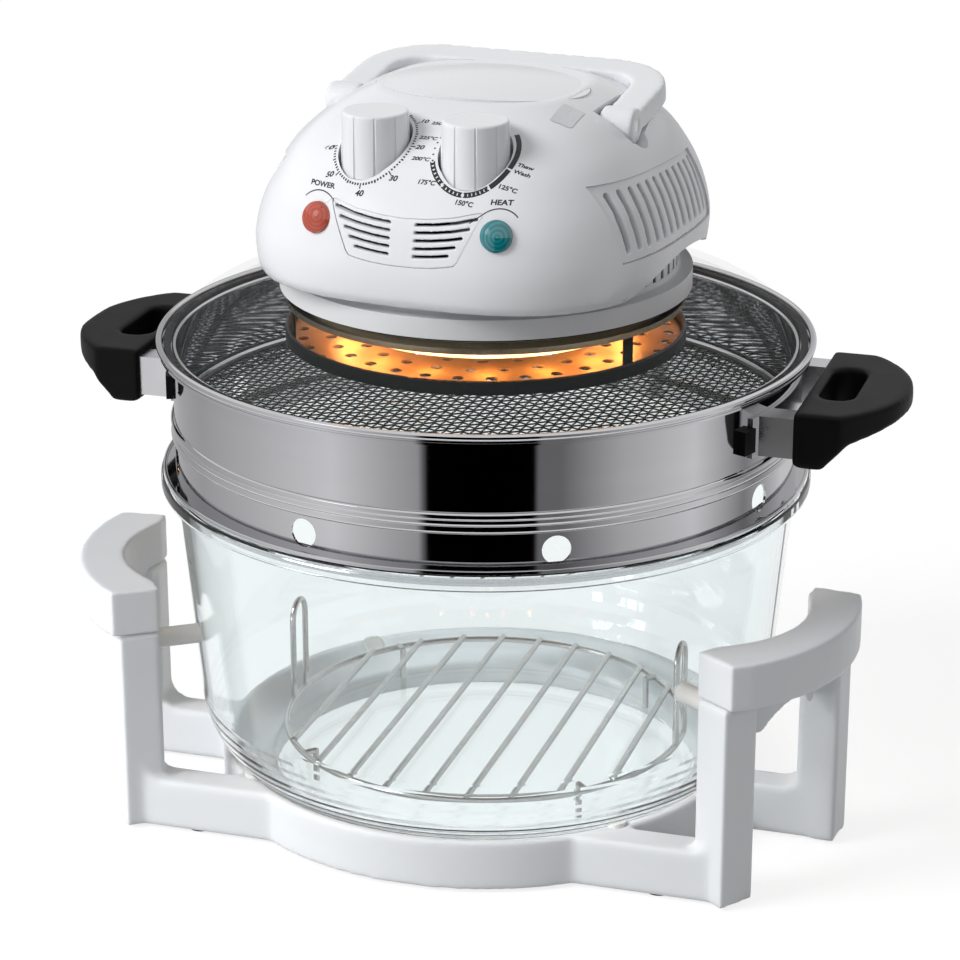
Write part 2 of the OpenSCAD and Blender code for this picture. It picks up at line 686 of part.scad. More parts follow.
// Carry handle, drawn level with its pivot on the X axis
pivot_y = -6;
pivot_z = head_top_z - bail_drop;
pivot_block_r = 9;
pin_r = 3;
pocket_gap = 1.2;
module at_bail() { translate([0, pivot_y, pivot_z]) rotate([bail_rest_a, 0, 0]) children(); }
module bail_plan(grow) {
  out = bail_half + bail_w / 2 + grow;
  in = bail_half - bail_w / 2 - grow;
  rear = bail_len + bail_w / 2 + grow;
  r = 34 + grow;
  difference() {
    union() {
      translate([-out, -pivot_block_r - grow]) square([2 * out, rear + pivot_block_r + grow - r]);
      translate([-out + r, 0]) square([2 * (out - r), rear]);
      for (s = [-1, 1]) translate([s * (out - r), rear - r]) circle(r, $fn = 64);
    }
    ri = r - bail_w - 2 * grow;
    inner = bail_len - bail_w / 2 - grow;
    translate([-in, -pivot_block_r - grow - over]) square([2 * in, inner + pivot_block_r + grow + over - ri]);
    translate([-in + ri, 0]) square([2 * (in - ri), inner]);
    for (s = [-1, 1]) translate([s * (in - ri), inner - ri]) circle(ri, $fn = 64);
  }
}
// Space that the lowered handle lies in, and that it leaves when it is raised
module bail_pocket(grow) {
  at_bail() {
    translate([0, 0, -bail_t / 2 - pocket_gap - grow]) linear_extrude(60) bail_plan(pocket_gap + grow);
    both() translate([bail_half - bail_w / 2 - pocket_gap - grow, 0, 0]) rotate([0, 90, 0])
      cylinder(r = pivot_block_r + pocket_gap + grow, h = 50);
  }
}

cover_w = 54;
cover_d = 39;
cover_y = -4;
cover_drop = 1.6;
cover_rise = 3.4;
cover_dome_r = 340;
module cover_form(grow) {
  intersection() {
    translate([0, cover_y, head_top_z - cover_drop - grow]) linear_extrude(20)
      scale([1, (cover_d + grow) / (cover_w + grow)]) circle(cover_w + grow, $fn = 128);
    translate([0, cover_y, head_top_z + cover_rise - cover_dome_r]) sphere(cover_dome_r, $fn = 256);
  }
}
plunger_r = 2.2;
plunger_y = pivot_y + (bail_len) * cos(bail_rest_a);
groove_floor_z = pivot_z + bail_len * sin(bail_rest_a) - (bail_t / 2 + pocket_gap) / cos(bail_rest_a);
switch_top_z = groove_floor_z - shell_t - 6;
switch_post_x = 7;
grommet_z = head_z + 16;
grommet_r = 7;

// Lower edge of the housing, arched at both sides over the slots of the neck
arch_x = 60;
arch_half = 60;
arch_r = (pow(arch_half, 2) + pow(side_arch, 2)) / (2 * side_arch);
module at_arch() { translate([arch_x, 0, head_z + side_arch - arch_r]) rotate([0, 90, 0]) children(); }

module head_housing() {
  color("white") turned() difference() {
    union() {
      difference() {
        head_form();
        difference() {
          head_form(shell_t, roof_t);
          bail_pocket(shell_t);
        }
      }
      intersection() {
        head_form(1, 1);
        union() {
          for (s = [-1, 1]) at_knob(s) translate([0, 0, -well_floor_t])
            cylinder(r = knob_r + well_gap + well_wall, h = head_top_z - well_z);
          head_posts(boss_r, boss_split_z, head_top_z);
          for (s = [-1, 1]) translate([s * switch_post_x, plunger_y, switch_top_z])
            cylinder(r = 2.5, h = head_top_z - switch_top_z);
        }
      }
      // Lower edge turned in to the neck
      intersection() {
        head_form();
        difference() {
          union() {
            translate([0, 0, head_z - over]) cylinder(r = 2 * head_w, h = shell_t + over);
            both() at_arch() cylinder(r = arch_r + shell_t, h = head_w, $fn = 128);
          }
          translate([0, 0, head_z - 2 * over])
            cylinder(r = neck_r + gap, h = side_arch + 2 * shell_t + 2 * over, $fn = 128);
        }
      }
    }
    both() at_arch() cylinder(r = arch_r, h = head_w, $fn = 128);
    bail_pocket(0);
    cover_form(0.15);
    for (s = [-1, 1]) at_knob(s) {
      cylinder(r = knob_r + well_gap, h = head_h);
      translate([0, 0, -well_floor_t - over]) cylinder(r = shaft_r + 0.5, h = 30);
    }
    for (i = [0, 1]) at_lens(i) translate([0, 0, -12]) cylinder(r = lens_r + 0.1, h = 30);
    front_vent_outline(0.15);
    both() side_vent_outline(0.15);
    head_posts(screw_r + 0.05, boss_split_z - over, boss_split_z + 14);
    // Pin holes, the switch plunger's hole and the cord inlet
    translate([-bail_half - 20, pivot_y, pivot_z]) rotate([0, 90, 0])
      cylinder(r = pin_r + snug, h = 2 * bail_half + 40);
    translate([0, plunger_y, pivot_z - 30]) cylinder(r = plunger_r + run, h = 60);
    translate([0, head_d - 20, grommet_z]) rotate([-90, 0, 0]) cylinder(r = grommet_r + 0.05, h = 40);
  }
}
module top_cover() { color("white") turned() cover_form(0); }
module front_vent_grille() {
  rows = 5;
  pitch = 3.6;
  slot_h = 1.5;
  middle = 12;
  color("white") turned() difference() {
    intersection() {
      housing_skin(0.3, vent_depth);
      front_vent_outline(0);
    }
    // Two groups of slots that sag like the plate's upper edge
    for (i = [0:rows - 1], s = [-1, 1]) let (
        z = front_vent_low[1] + 2.2 + front_vent_sag + i * pitch,
        in = middle / 2,
        out = front_vent_low[0] - 3 + (front_vent_top[0] - front_vent_low[0]) * i / (rows - 1),
        xs = [for (k = [0:3]) s * (in + (out - in) * k / 3)])
      translate([0, -head_d + 38, 0]) rotate([90, 0, 0]) linear_extrude(60) polygon(concat(
        [for (x = xs) [x, sagged(z, x)]],
        [for (k = [3:-1:0]) [xs[k], sagged(z, xs[k]) + slot_h]]));
  }
}
module side_vent_panel() {
  n = 12;
  pitch = 8.8;
  color("white") difference() {
    intersection() {
      housing_skin(0.9, vent_depth);
      side_vent_outline(0);
    }
    for (i = [0:n - 1]) let (y = -59 + i * pitch)
      translate([0, y, side_vent[0][1] + 4 - i * 0.25]) cube([head_w + 20, 3.4, 27.5 - i * 0.1]);
  }
}
module side_vent_right() { turned() side_vent_panel(); }
module side_vent_left() { turned() mirror([1, 0, 0]) side_vent_panel(); }
module lens(i) {
  deep = 9;
  edge_out = 1;
  dome_r = 14.2;
  at_lens(i) {
    translate([0, 0, -deep]) cylinder(r = lens_r, h = deep + edge_out);
    translate([0, 0, edge_out]) intersection() {
      translate([0, 0, 0.1 - sqrt(pow(dome_r, 2) - pow(lens_r, 2))]) sphere(r = dome_r, $fn = 48);
      cylinder(r = lens_r, h = dome_r);
    }
  }
}
module power_lens() { color("orangered") turned() lens(0); }
module heat_lens() { color("teal") turned() lens(1); }
module head_screws() {
  color("silver") turned() {
    head_posts(4, skirt_z + 0.1, skirt_z + 1.6);
    head_posts(screw_r, skirt_z + 1, boss_split_z + 12);
  }
}
module cord_grommet() {
  color("dimgray") turned() translate([0, head_d - 6.2, grommet_z]) rotate([-90, 0, 0]) difference() {
    union() {
      cylinder(r = grommet_r, h = 9);
      translate([0, 0, 6.6]) cylinder(r = grommet_r + 2, h = 2.4);
    }
    translate([0, 0, -over]) cylinder(r = 3.6, h = 12);
  }
}

// Heater under the lid glass

reflector_t = 1.2;
reflector_z = lid_under_z - gap - reflector_t;
reflector_r = skirt_r - 3;
lamp_z = reflector_z - 2 - lamp_tube_r;
lamp_gap_a = 50;
guard_z = lid_top_z - guard_drop - 1.5;
guard_t = 1;
guard_wall_h = 6;
hanger_a = [66, 186, 306];
hanger_t = 1.2;
hanger_w = 6;
hanger_foot = 8;
guard_bead = 0.9;
hanger_r = guard_r - 2 * guard_bead - hanger_t - 0.1;

module reflector() {
  color("silver") turned() difference() {
    rotate_extrude($fn = 128) {
      translate([6, reflector_z]) square([reflector_r - 6, reflector_t]);
      translate([reflector_r - 1, reflector_z - 1.6]) square([1, 2]);
    }
    reflector_posts(screw_r + 0.05, reflector_z - over, reflector_z + 3);
  }
}
module heat_shield() {
  color("wheat") turned() difference() {
    translate([0, 0, lid_under_z - gap])
      cylinder(r = lid_hole_r - gap, h = skirt_z - lid_under_z + gap, $fn = 128);
    translate([0, 0, lid_under_z - 2]) cylinder(r = hub_hole_r, h = 20);
    reflector_posts(screw_r + 0.05, lid_under_z - 2, skirt_z + over);
  }
}
module reflector_screws() {
  color("silver") turned() {
    reflector_posts(screw_r, reflector_z - 1, floor_z + 2);
    reflector_posts(3.6, reflector_z - 2, reflector_z);
  }
}
module halogen_lamp() {
  color("white", 0.4) turned() translate([0, 0, lamp_z]) rotate([0, 0, 90 + lamp_gap_a / 2])
    rotate_extrude(angle = 360 - lamp_gap_a, $fn = 96) translate([lamp_r, 0]) difference() {
      circle(lamp_tube_r, $fn = 32);
      circle(lamp_tube_r - 1, $fn = 32);
    }
}
// The filament is one unbroken coil wound along the lamp's circle
filament_r = 2.6;
filament_wire = 0.45;
filament_steps = 8;
filament_span = 360 - lamp_gap_a - 8;
function filament_at(u, w, spin) = let (
    a = 90 + (360 - filament_span) / 2 + filament_span * u,
    b = 360 * filament_turns * u,
    r = lamp_r + (filament_r + w * cos(spin)) * cos(b))
  [r * cos(a) - w * sin(spin) * sin(a), r * sin(a) + w * sin(spin) * cos(a),
    lamp_z + (filament_r + w * cos(spin)) * sin(b)];
filament_pitch = lamp_r * PI / 180 * filament_span / filament_turns;
echo(filament_least_gap = filament_pitch * (lamp_r - filament_r) / lamp_r - 2 * filament_wire);
module lamp_filament() {
  n = filament_turns * filament_steps;
  s = 6;
  tail = 4 * filament_wire;
  rows = concat(
    [[for (k = [0:s - 1]) filament_at(0, filament_wire, 360 * k / s) - [0, 0, tail]]],
    [for (i = [0:n]) [for (k = [0:s - 1]) filament_at(i / n, filament_wire, 360 * k / s)]],
    [[for (k = [0:s - 1]) filament_at(1, filament_wire, 360 * k / s) + [0, 0, tail]]]);
  m = len(rows) - 1;
  color("orange") turned() polyhedron(points = [for (r = rows) each r],
    faces = concat([[for (k = [0:s - 1]) k]], [[for (k = [s - 1:-1:0]) m * s + k]],
      [for (i = [0:m - 1], k = [0:s - 1]) [i * s + k, (i + 1) * s + k, (i + 1) * s + (k + 1) % s]],
      [for (i = [0:m - 1], k = [0:s - 1]) [i * s + k, (i + 1) * s + (k + 1) % s, i * s + (k + 1) % s]]));
}
module lamp_clips() {
  cap = 13;
  cap_len = 12;
  seat = 5;
  color("linen") turned() for (s = [-1, 1]) rotate(90 + s * lamp_gap_a / 2) translate([lamp_r, 0, 0])
    mirror([0, s > 0 ? 0 : 1, 0]) difference() {
      translate([-cap / 2, seat - cap_len, lamp_z - cap / 2])
        cube([cap, cap_len, reflector_z - lamp_z + cap / 2]);
      translate([0, -0.1, lamp_z]) rotate([-90, 0, 0])
        cylinder(r = lamp_tube_r + gap, h = cap_len);
    }
}
module heater_guard() {
  color("peru") turned() difference() {
    union() {
      rotate_extrude($fn = 128) {
        translate([guard_r - 1.2, guard_z]) square([1.2, guard_wall_h]);
        translate([guard_r - guard_bead, guard_z + guard_wall_h]) circle(guard_bead, $fn = 24);
      }
      translate([0, 0, guard_z]) linear_extrude(guard_t) difference() {
        circle(guard_r - 0.6, $fn = 128);
        for (row = [1:6]) let (r = 8 + 14 * row, n = 6 * row) for (i = [0:n - 1])
          rotate(360 * (i + (row % 2) / 2) / n) translate([r, 0]) circle(3, $fn = 16);
      }
    }
  }
}
module guard_posts() {
  color("peru") turned() for (a = hanger_a) at_angle(0, a) {
    low = guard_z + guard_t;
    translate([-hanger_w / 2, -hanger_r - hanger_t, low]) cube([hanger_w, hanger_t, reflector_z - low]);
    for (z = [low, reflector_z - hanger_t]) translate([-hanger_w / 2, -hanger_r - hanger_t, z])
      cube([hanger_w, hanger_foot, hanger_t]);
  }
}

// Motor, fans and controls

plate_t = 2;
stator_t = 20;
stator_z = floor_z + 26;
column_x = 34;
rotor_r = 13;
shaft_low_z = guard_z + guard_t + 3.5;
fan_z = shaft_low_z + 3.2;
cool_z = stator_z + stator_t + plate_t + 7;

module motor_stator() {
  color("dimgray") turned() difference() {
    translate([-motor_w / 2, -motor_w / 2 + 4, stator_z]) cube([motor_w, motor_w - 8, stator_t]);
    translate([0, 0, stator_z - over]) cylinder(r = rotor_r + 0.6, h = stator_t + 2 * over);
    for (s = [-1, 1]) translate([-18, s * (motor_w / 2 - 10) - 3, stator_z - over])
      cube([36, 6, stator_t + 2 * over]);
  }
}
module motor_bracket() {
  color("silver") turned() difference() {
    union() {
      for (z = [stator_z - plate_t, stator_z + stator_t])
        translate([-column_x - 5, -12, z]) cube([2 * column_x + 10, 24, plate_t]);
      translate([0, 0, stator_z - plate_t - 4]) cylinder(r = 7, h = 4);
      translate([0, 0, stator_z + stator_t + plate_t]) cylinder(r = 7, h = 4);
      both() translate([column_x, 0, floor_z]) cylinder(r = 4, h = stator_z + stator_t - floor_z);
    }
    translate([0, 0, floor_z]) cylinder(r = shaft_r + run, h = 80);
  }
}
bearing_len = 14;
shaft_out = 16;
module control_body(side) {
  at_knob(side) difference() {
    translate([0, 0, -well_floor_t]) mirror([0, 0, 1]) children();
    translate([0, 0, -well_floor_t - bearing_len]) cylinder(r = shaft_r + run, h = bearing_len + over);
  }
}
module timer_unit() {
  color("lightgray") turned() control_body(-1) {
    translate([-15, -12, 0]) cube([30, 24, 3]);
    translate([-14, -11, 0]) cube([28, 22, 20]);
  }
}
module thermostat() {
  color("lightgray") turned() control_body(1) {
    cylinder(r = 14, h = 4);
    cylinder(r = 12, h = 18);
  }
}
module control_shaft(side) {
  deep = well_floor_t + bearing_len - 0.5;
  at_knob(side) translate([0, 0, -deep]) cylinder(r = shaft_r, h = deep + shaft_out);
}
module timer_shaft() { color("silver") turned() control_shaft(-1); }
module thermostat_shaft() { color("silver") turned() control_shaft(1); }
// Plain knob with a little draft and fine upright grooves round its side
well_step = 0.4;
module knob(side) {
  grooves = 10;
  groove_a = 4;
  groove_r = 0.7;
  draft = 0.5;
  edge = 1.6;
  at_knob(side) translate([0, 0, well_step]) difference() {
    rotate_extrude($fn = 96) polygon(concat([[0, 0], [knob_r, 0]],
      bend([knob_r - draft, knob_h - edge], [knob_r - draft, knob_h],
        [knob_r - draft - edge, knob_h], 4), [[0, knob_h]]));
    for (i = [0:grooves - 1]) rotate(groove_a + 360 * i / grooves)
      translate([knob_r + groove_r - draft - 0.35, 0, -over]) cylinder(r = groove_r, h = knob_h + 2 * over);
    translate([0, 0, -over]) cylinder(r = shaft_r + snug, h = over + shaft_out - well_step + 0.2);
  }
}
module timer_knob() { color("white") turned() knob(-1); }
module temperature_knob() { color("white") turned() knob(1); }

module hot_air_fan() {
  color("silver") translate([0, 0, fan_z]) difference() {
    union() {
      cylinder(r = 8, h = 8);
      translate([0, 0, 7]) cylinder(r = 24, h = 1.2);
      for (i = [0:fan_blades - 1]) rotate(360 * i / fan_blades) translate([6, 0, 0]) rotate([0, 0, 12])
        cube([fan_r - 7.5, 1.2, 8]);
    }
    translate([0, 0, -over]) cylinder(r = shaft_r + snug, h = 20);
  }
}
module fan_nut() {
  color("silver") translate([0, 0, fan_z - 3]) difference() {
    cylinder(r = 5.5, h = 3, $fn = 6);
    translate([0, 0, -over]) cylinder(r = shaft_r + snug, h = 8, $fn = 64);
  }
}
module motor_shaft() {
  color("silver") translate([0, 0, shaft_low_z]) cylinder(r = shaft_r, h = cool_z + 7 - shaft_low_z);
}
module motor_rotor() {
  color("gray") translate([0, 0, stator_z + 0.5]) difference() {
    cylinder(r = rotor_r, h = stator_t - 1);
    translate([0, 0, -over]) cylinder(r = shaft_r + snug, h = stator_t + 2);
  }
}
module cooling_fan() {
  color("lightgray") translate([0, 0, cool_z]) difference() {
    union() {
      cylinder(r = 8, h = 7);
      for (i = [0:cool_blades - 1]) rotate(360 * i / cool_blades) translate([5, -7, 3]) rotate([24, 0, 0])
        cube([cool_r - 7, 14, 1.2]);
    }
    translate([0, 0, -over]) cylinder(r = shaft_r + snug, h = 20);
  }
}

// Safety switch under the lowered handle, and the handle on its pins

switch_w = 20;
switch_d = 10;
switch_h = 14;
module safety_switch() {
  color("black") turned() difference() {
    translate([-switch_w / 2, plunger_y - switch_d / 2, switch_top_z - switch_h])
      cube([switch_w, switch_d, switch_h]);
    translate([0, plunger_y, switch_top_z - 8]) cylinder(r = plunger_r + run, h = 20);
  }
}
module switch_plunger() {
  color("red") turned() translate([0, plunger_y, switch_top_z - 3.5])
    cylinder(r = plunger_r, h = groove_floor_z + 0.8 - switch_top_z + 3.5);
}
module handle_pivots() {
  inside = 8;
  color("silver") turned() both() translate([bail_half - bail_w / 2 - pocket_gap - inside, pivot_y, pivot_z])
    rotate([0, 90, 0]) cylinder(r = pin_r, h = inside + pocket_gap + bail_w - 0.5);
}
module carry_handle() {
  color("white") turned() at_bail() difference() {
    union() {
      translate([0, 0, -bail_t / 2]) linear_extrude(bail_t) difference() {
        bail_plan(0);
        translate([-bail_half - bail_w, -pivot_block_r - over])
          square([2 * (bail_half + bail_w), pivot_block_r + over]);
      }
      both() translate([bail_half - bail_w / 2, 0, 0]) rotate([0, 90, 0])
        cylinder(r = pivot_block_r, h = bail_w);
    }
    both() translate([bail_half - bail_w / 2 - over, 0, 0]) rotate([0, 90, 0])
      cylinder(r = pin_r + run, h = bail_w + 0.5);
  }
}

base_stand();
stand_grip_left();
stand_grip_right();
bumper_pads();
bumper_pegs();
rubber_feet();
stand_bolts();
glass_bowl();
low_rack();
extension_ring();
handle_bracket_left();
handle_bracket_right();
pot_handle_left();
pot_handle_right();
handle_spacers();
handle_screws();
mesh_rack();
lid_glass();
lid_edge_seal();
head_gasket();
head_skirt();
head_housing();
top_cover();
front_vent_grille();
side_vent_left();
side_vent_right();
power_lens();
heat_lens();
head_screws();
cord_grommet();
reflector();
heat_shield();
reflector_screws();
halogen_lamp();
lamp_filament();
lamp_clips();
heater_guard();
guard_posts();
motor_stator();
motor_bracket();
timer_unit();
thermostat();
safety_switch();
switch_plunger();
handle_pivots();
carry_handle();
timer_knob();
timer_shaft();
temperature_knob();
thermostat_shaft();
hot_air_fan();
fan_nut();
motor_shaft();
motor_rotor();
cooling_fan();
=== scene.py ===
# %% [markdown]
# # Halogen oven
#
# A countertop halogen oven is a glass bowl in a plastic stand, a polished steel ring that makes
# the bowl deeper, and a lid whose head holds a lamp, a fan and two controls. The construction
# is finished in CAD. This lesson dresses it: it mixes the materials, rounds the moulded pieces,
# turns the ring afresh, weaves the rack, prints the dials and sets up the studio.

# %% Load the construction
import math

import bmesh
import bpy
from mathutils import Matrix, Vector
from mathutils.bvhtree import BVHTree


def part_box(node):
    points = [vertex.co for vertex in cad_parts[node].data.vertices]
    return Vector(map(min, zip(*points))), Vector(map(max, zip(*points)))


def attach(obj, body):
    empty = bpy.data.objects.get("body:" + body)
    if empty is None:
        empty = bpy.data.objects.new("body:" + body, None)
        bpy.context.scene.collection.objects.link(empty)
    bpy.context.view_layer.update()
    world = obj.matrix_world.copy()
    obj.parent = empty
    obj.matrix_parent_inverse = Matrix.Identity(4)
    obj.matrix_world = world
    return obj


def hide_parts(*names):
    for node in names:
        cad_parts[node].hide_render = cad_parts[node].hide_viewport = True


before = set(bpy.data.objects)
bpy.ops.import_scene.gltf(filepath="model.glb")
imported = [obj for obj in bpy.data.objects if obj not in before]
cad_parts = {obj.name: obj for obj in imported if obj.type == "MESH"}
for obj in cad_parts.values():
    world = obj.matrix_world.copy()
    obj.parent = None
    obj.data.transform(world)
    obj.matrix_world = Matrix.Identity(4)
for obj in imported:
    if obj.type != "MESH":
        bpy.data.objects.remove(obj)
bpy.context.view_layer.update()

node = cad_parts
MM = 0.001

# %% [markdown]
# ## The camera
#
# The photograph looks down on the oven from a little to its right. A long lens keeps the sides
# nearly parallel. The distance, the height and the turn were worked out from circles of known
# size on the oven, so the camera can be written down as numbers.

# %% Camera
TURN, TILT, DISTANCE = 17.0, 20.0, 1.6
AIM = Vector((0, 0, 0.164))
turn, tilt = math.radians(TURN), math.radians(TILT)
back = Vector((math.sin(turn) * math.cos(tilt), -math.cos(turn) * math.cos(tilt), math.sin(tilt)))
camera = bpy.data.objects.new("camera", bpy.data.cameras.new("camera"))
bpy.context.collection.objects.link(camera)
camera.location = AIM + back * DISTANCE
camera.rotation_euler = (-back).to_track_quat("-Z", "Y").to_euler()
camera.data.lens = 117.3
camera.data.sensor_width = 36
camera.data.shift_x = -6 / 960
camera.data.shift_y = 1 / 960
bpy.context.scene.camera = camera
print("camera at", [round(x, 3) for x in camera.location])

# %% [markdown]
# ## Small helpers for materials
#
# Colours are easiest to choose as hex values, as on a screen, but Blender mixes light in a
# linear scale, so one function turns the one into the other. A second function adds a node
# with its settings and links. A solid can get a second colour by its distance from the axis,
# or in fine rings. Here that paints shade inside the skirt's neck and highlight rings on the
# lenses, and it darkens the guard's outer wall.

# %% Colour and node helpers
GRAIN_DEPTH = 0.2 * MM


def linear(hex_colour):
    parts = [int(hex_colour[i:i + 2], 16) / 255 for i in (1, 3, 5)]
    return [p / 12.92 if p < 0.04045 else ((p + 0.055) / 1.055) ** 2.4 for p in parts] + [1.0]


def add(tree, kind, settings=None, **inputs):
    made = tree.nodes.new(kind)
    for name, value in (settings or {}).items():
        setattr(made, name, value)
    for name, value in inputs.items():
        socket = made.inputs[int(name[1:])] if name[0] == "_" else made.inputs[name.replace("_", " ")]
        if isinstance(value, bpy.types.NodeSocket):
            tree.links.new(value, socket)
        else:
            socket.default_value = value
    return made


def blank(name):
    """A material without nodes, and its empty tree."""
    made = bpy.data.materials.new(name)
    made.use_nodes = True
    made.node_tree.nodes.clear()
    return made, made.node_tree


# %% One finish for moulded, pressed and turned pieces
def finish(name, colour, drift, spot_mm, rough, rough_step, grain_mm, grain, stretch=(1, 1, 1), **skin):
    """colour drifts towards drift in spots of spot_mm; the grain is grain_mm wide."""
    made, tree = blank(name)
    place = add(tree, "ShaderNodeTexCoord")
    lay = add(tree, "ShaderNodeMapping", Vector=place.outputs["Object"], Scale=stretch)
    spots = add(tree, "ShaderNodeTexNoise", Vector=lay.outputs["Vector"], Scale=1 / (spot_mm * MM),
                Detail=3.0)
    tone = add(tree, "ShaderNodeMix", {"data_type": "RGBA"}, Factor=spots.outputs["Fac"],
               _6=linear(colour), _7=linear(drift))
    gloss = add(tree, "ShaderNodeMapRange", Value=spots.outputs["Fac"], _3=rough - rough_step,
                _4=rough + rough_step)
    pores = add(tree, "ShaderNodeTexNoise", Vector=lay.outputs["Vector"], Scale=1 / (grain_mm * MM),
                Detail=2.0)
    bump = add(tree, "ShaderNodeBump", Height=pores.outputs["Fac"], Strength=grain, Distance=GRAIN_DEPTH)
    shader = add(tree, "ShaderNodeBsdfPrincipled", Base_Color=tone.outputs[2], Roughness=gloss.outputs[0],
                 Normal=bump.outputs["Normal"], **skin)
    add(tree, "ShaderNodeOutputMaterial", Surface=shader.outputs[0])
    return made


# %% A second colour in a zone or in rings
def tint(material, share, colour):
    """Where share is 1 the material takes another colour."""
    tree = material.node_tree
    shader = next(n for n in tree.nodes if n.type == "BSDF_PRINCIPLED")
    old = shader.inputs["Base Color"].links[0].from_socket
    both = add(tree, "ShaderNodeMix", {"data_type": "RGBA"}, Factor=share, _6=old, _7=linear(colour))
    tree.links.new(both.outputs[2], shader.inputs["Base Color"])


def zone(material, edge_mm, colour, outside=True):
    """Tints what lies beyond edge_mm from the oven's axis, or what lies within it."""
    tree, blur = material.node_tree, 0.4
    place = add(tree, "ShaderNodeTexCoord")
    flat = add(tree, "ShaderNodeVectorMath", {"operation": "MULTIPLY"}, _0=place.outputs["Object"],
               _1=(1, 1, 0))
    far = add(tree, "ShaderNodeVectorMath", {"operation": "LENGTH"}, _0=flat.outputs[0])
    share = add(tree, "ShaderNodeMapRange", Value=far.outputs["Value"], From_Min=(edge_mm - blur) * MM,
                From_Max=(edge_mm + blur) * MM, _3=float(not outside), _4=float(outside))
    tint(material, share.outputs[0], colour)


def painted_highlight_rings(material, name, pitch_mm, colour, shift_mm):
    """Painted highlight rings round the middle of a lens: a second, darker tone in fine rings."""
    tree, waves_a_unit = material.node_tree, 20
    low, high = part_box(name)
    place = add(tree, "ShaderNodeTexCoord")
    centred = add(tree, "ShaderNodeMapping", Vector=place.outputs["Object"],
                  Location=-(low + high) / 2 - Vector(shift_mm) * MM)
    rings = add(tree, "ShaderNodeTexWave", {"wave_type": "RINGS", "rings_direction": "Y"},
                Vector=centred.outputs[0], Scale=math.tau / (waves_a_unit * pitch_mm * MM))
    tint(material, rings.outputs["Fac"], colour)


def dress(material, *names):
    for name in names:
        mesh = node[name].data if isinstance(name, str) else name.data
        mesh.materials.clear()
        mesh.materials.append(material)


# %% [markdown]
# ## Plastics and rubber
#
# The stand is polypropylene with a satin skin from a fine-sparked mould. The head is ABS from
# a polished mould, so it is glossier and a little warmer. The pot handles are phenolic resin,
# which takes heat: black and hard, with a faint orange peel and little shine. The seals and
# feet are rubber, dull and dark. Inside its neck the skirt is coloured near black. This is a
# painted shade for the dark behind the slots, so the slots read as black.

# %% Plastics
stand_polypropylene = finish("satin polypropylene", "#E6E9EC", "#E0E3E7", 60, 0.36, 0.04, 1.2, 0.06)
head_abs = finish("gloss white ABS", "#ECEDF0", "#E7E8EC", 80, 0.24, 0.02, 2.5, 0.02, Coat_Weight=0.25,
                  Coat_Roughness=0.12)
skirt_abs = finish("satin grey-white ABS", "#DCDDDF", "#D5D6D9", 60, 0.34, 0.04, 1.2, 0.05)
# painted shade: within 95.2 mm of the axis the skirt is coloured near black, the dark of the space behind the
# neck's slots
zone(skirt_abs, 95.2, "#161617", outside=False)
phenolic = finish("black phenolic resin", "#060607", "#0A0A0B", 20, 0.46, 0.05, 1.6, 0.08,
                  Specular_IOR_Level=0.10)
silicone = finish("black silicone rubber", "#0E0E0F", "#141415", 12, 0.50, 0.06, 0.8, 0.12,
                  Specular_IOR_Level=0.35)
grey_rubber = finish("grey rubber", "#3A3B3D", "#444547", 12, 0.62, 0.05, 0.8, 0.15)
white_silicone = finish("white silicone rubber", "#E6E6E4", "#DCDCDA", 10, 0.45, 0.05, 0.8, 0.10)
works_grey = finish("grey nylon", "#A9AAA8", "#9D9E9C", 15, 0.48, 0.05, 1.0, 0.08)
switch_black = finish("black nylon", "#1C1C1D", "#262627", 10, 0.45, 0.05, 1.0, 0.08)
plunger_red = finish("red nylon", "#B3241D", "#A01E19", 6, 0.40, 0.05, 1.0, 0.05)

# %% [markdown]
# ## Metals
#
# The ring is stainless steel polished to a mirror, with faint lines round it from the wheel.
# The low rack is wire with a bright nickel plate, the net's wire is darker. The reflector is
# bright too, and tinted by heat. The perforated guard has gone bronze. Beyond 97.5 mm from the
# axis, on its outer wall, it is coloured almost black. A metal keeps the shader's default index
# of refraction, because its colour does the work.

# %% Metals
polished_steel = finish("polished stainless steel", "#C9C9CB", "#BEBEC1", 45, 0.055, 0.02, 1.5, 0.015,
                        stretch=(0.15, 0.15, 3.0), Metallic=1.0)
bright_steel = finish("bright pressed steel", "#D8D8DA", "#CCCCCF", 15, 0.28, 0.05, 1.2, 0.05, Metallic=1.0)
nickel_wire = finish("nickel plated wire", "#C6C5C3", "#B3B2B0", 8, 0.16, 0.05, 0.8, 0.05, Metallic=1.0)
net_wire = finish("dark plated net wire", "#504E4B", "#403E3B", 6, 0.34, 0.06, 0.8, 0.06, Metallic=1.0)
zinc_steel = finish("zinc plated steel", "#B4B6B8", "#A3A5A8", 8, 0.30, 0.06, 0.8, 0.08, Metallic=1.0)
hot_reflector = finish("heat tinted reflector steel", "#D8CBB4", "#C9B490", 18, 0.18, 0.05, 1.5, 0.05,
                       Metallic=1.0)
bronzed_guard = finish("bronzed perforated steel", "#8F6B42", "#6E4E2E", 14, 0.38, 0.06, 1.0, 0.08,
                       Metallic=0.7)
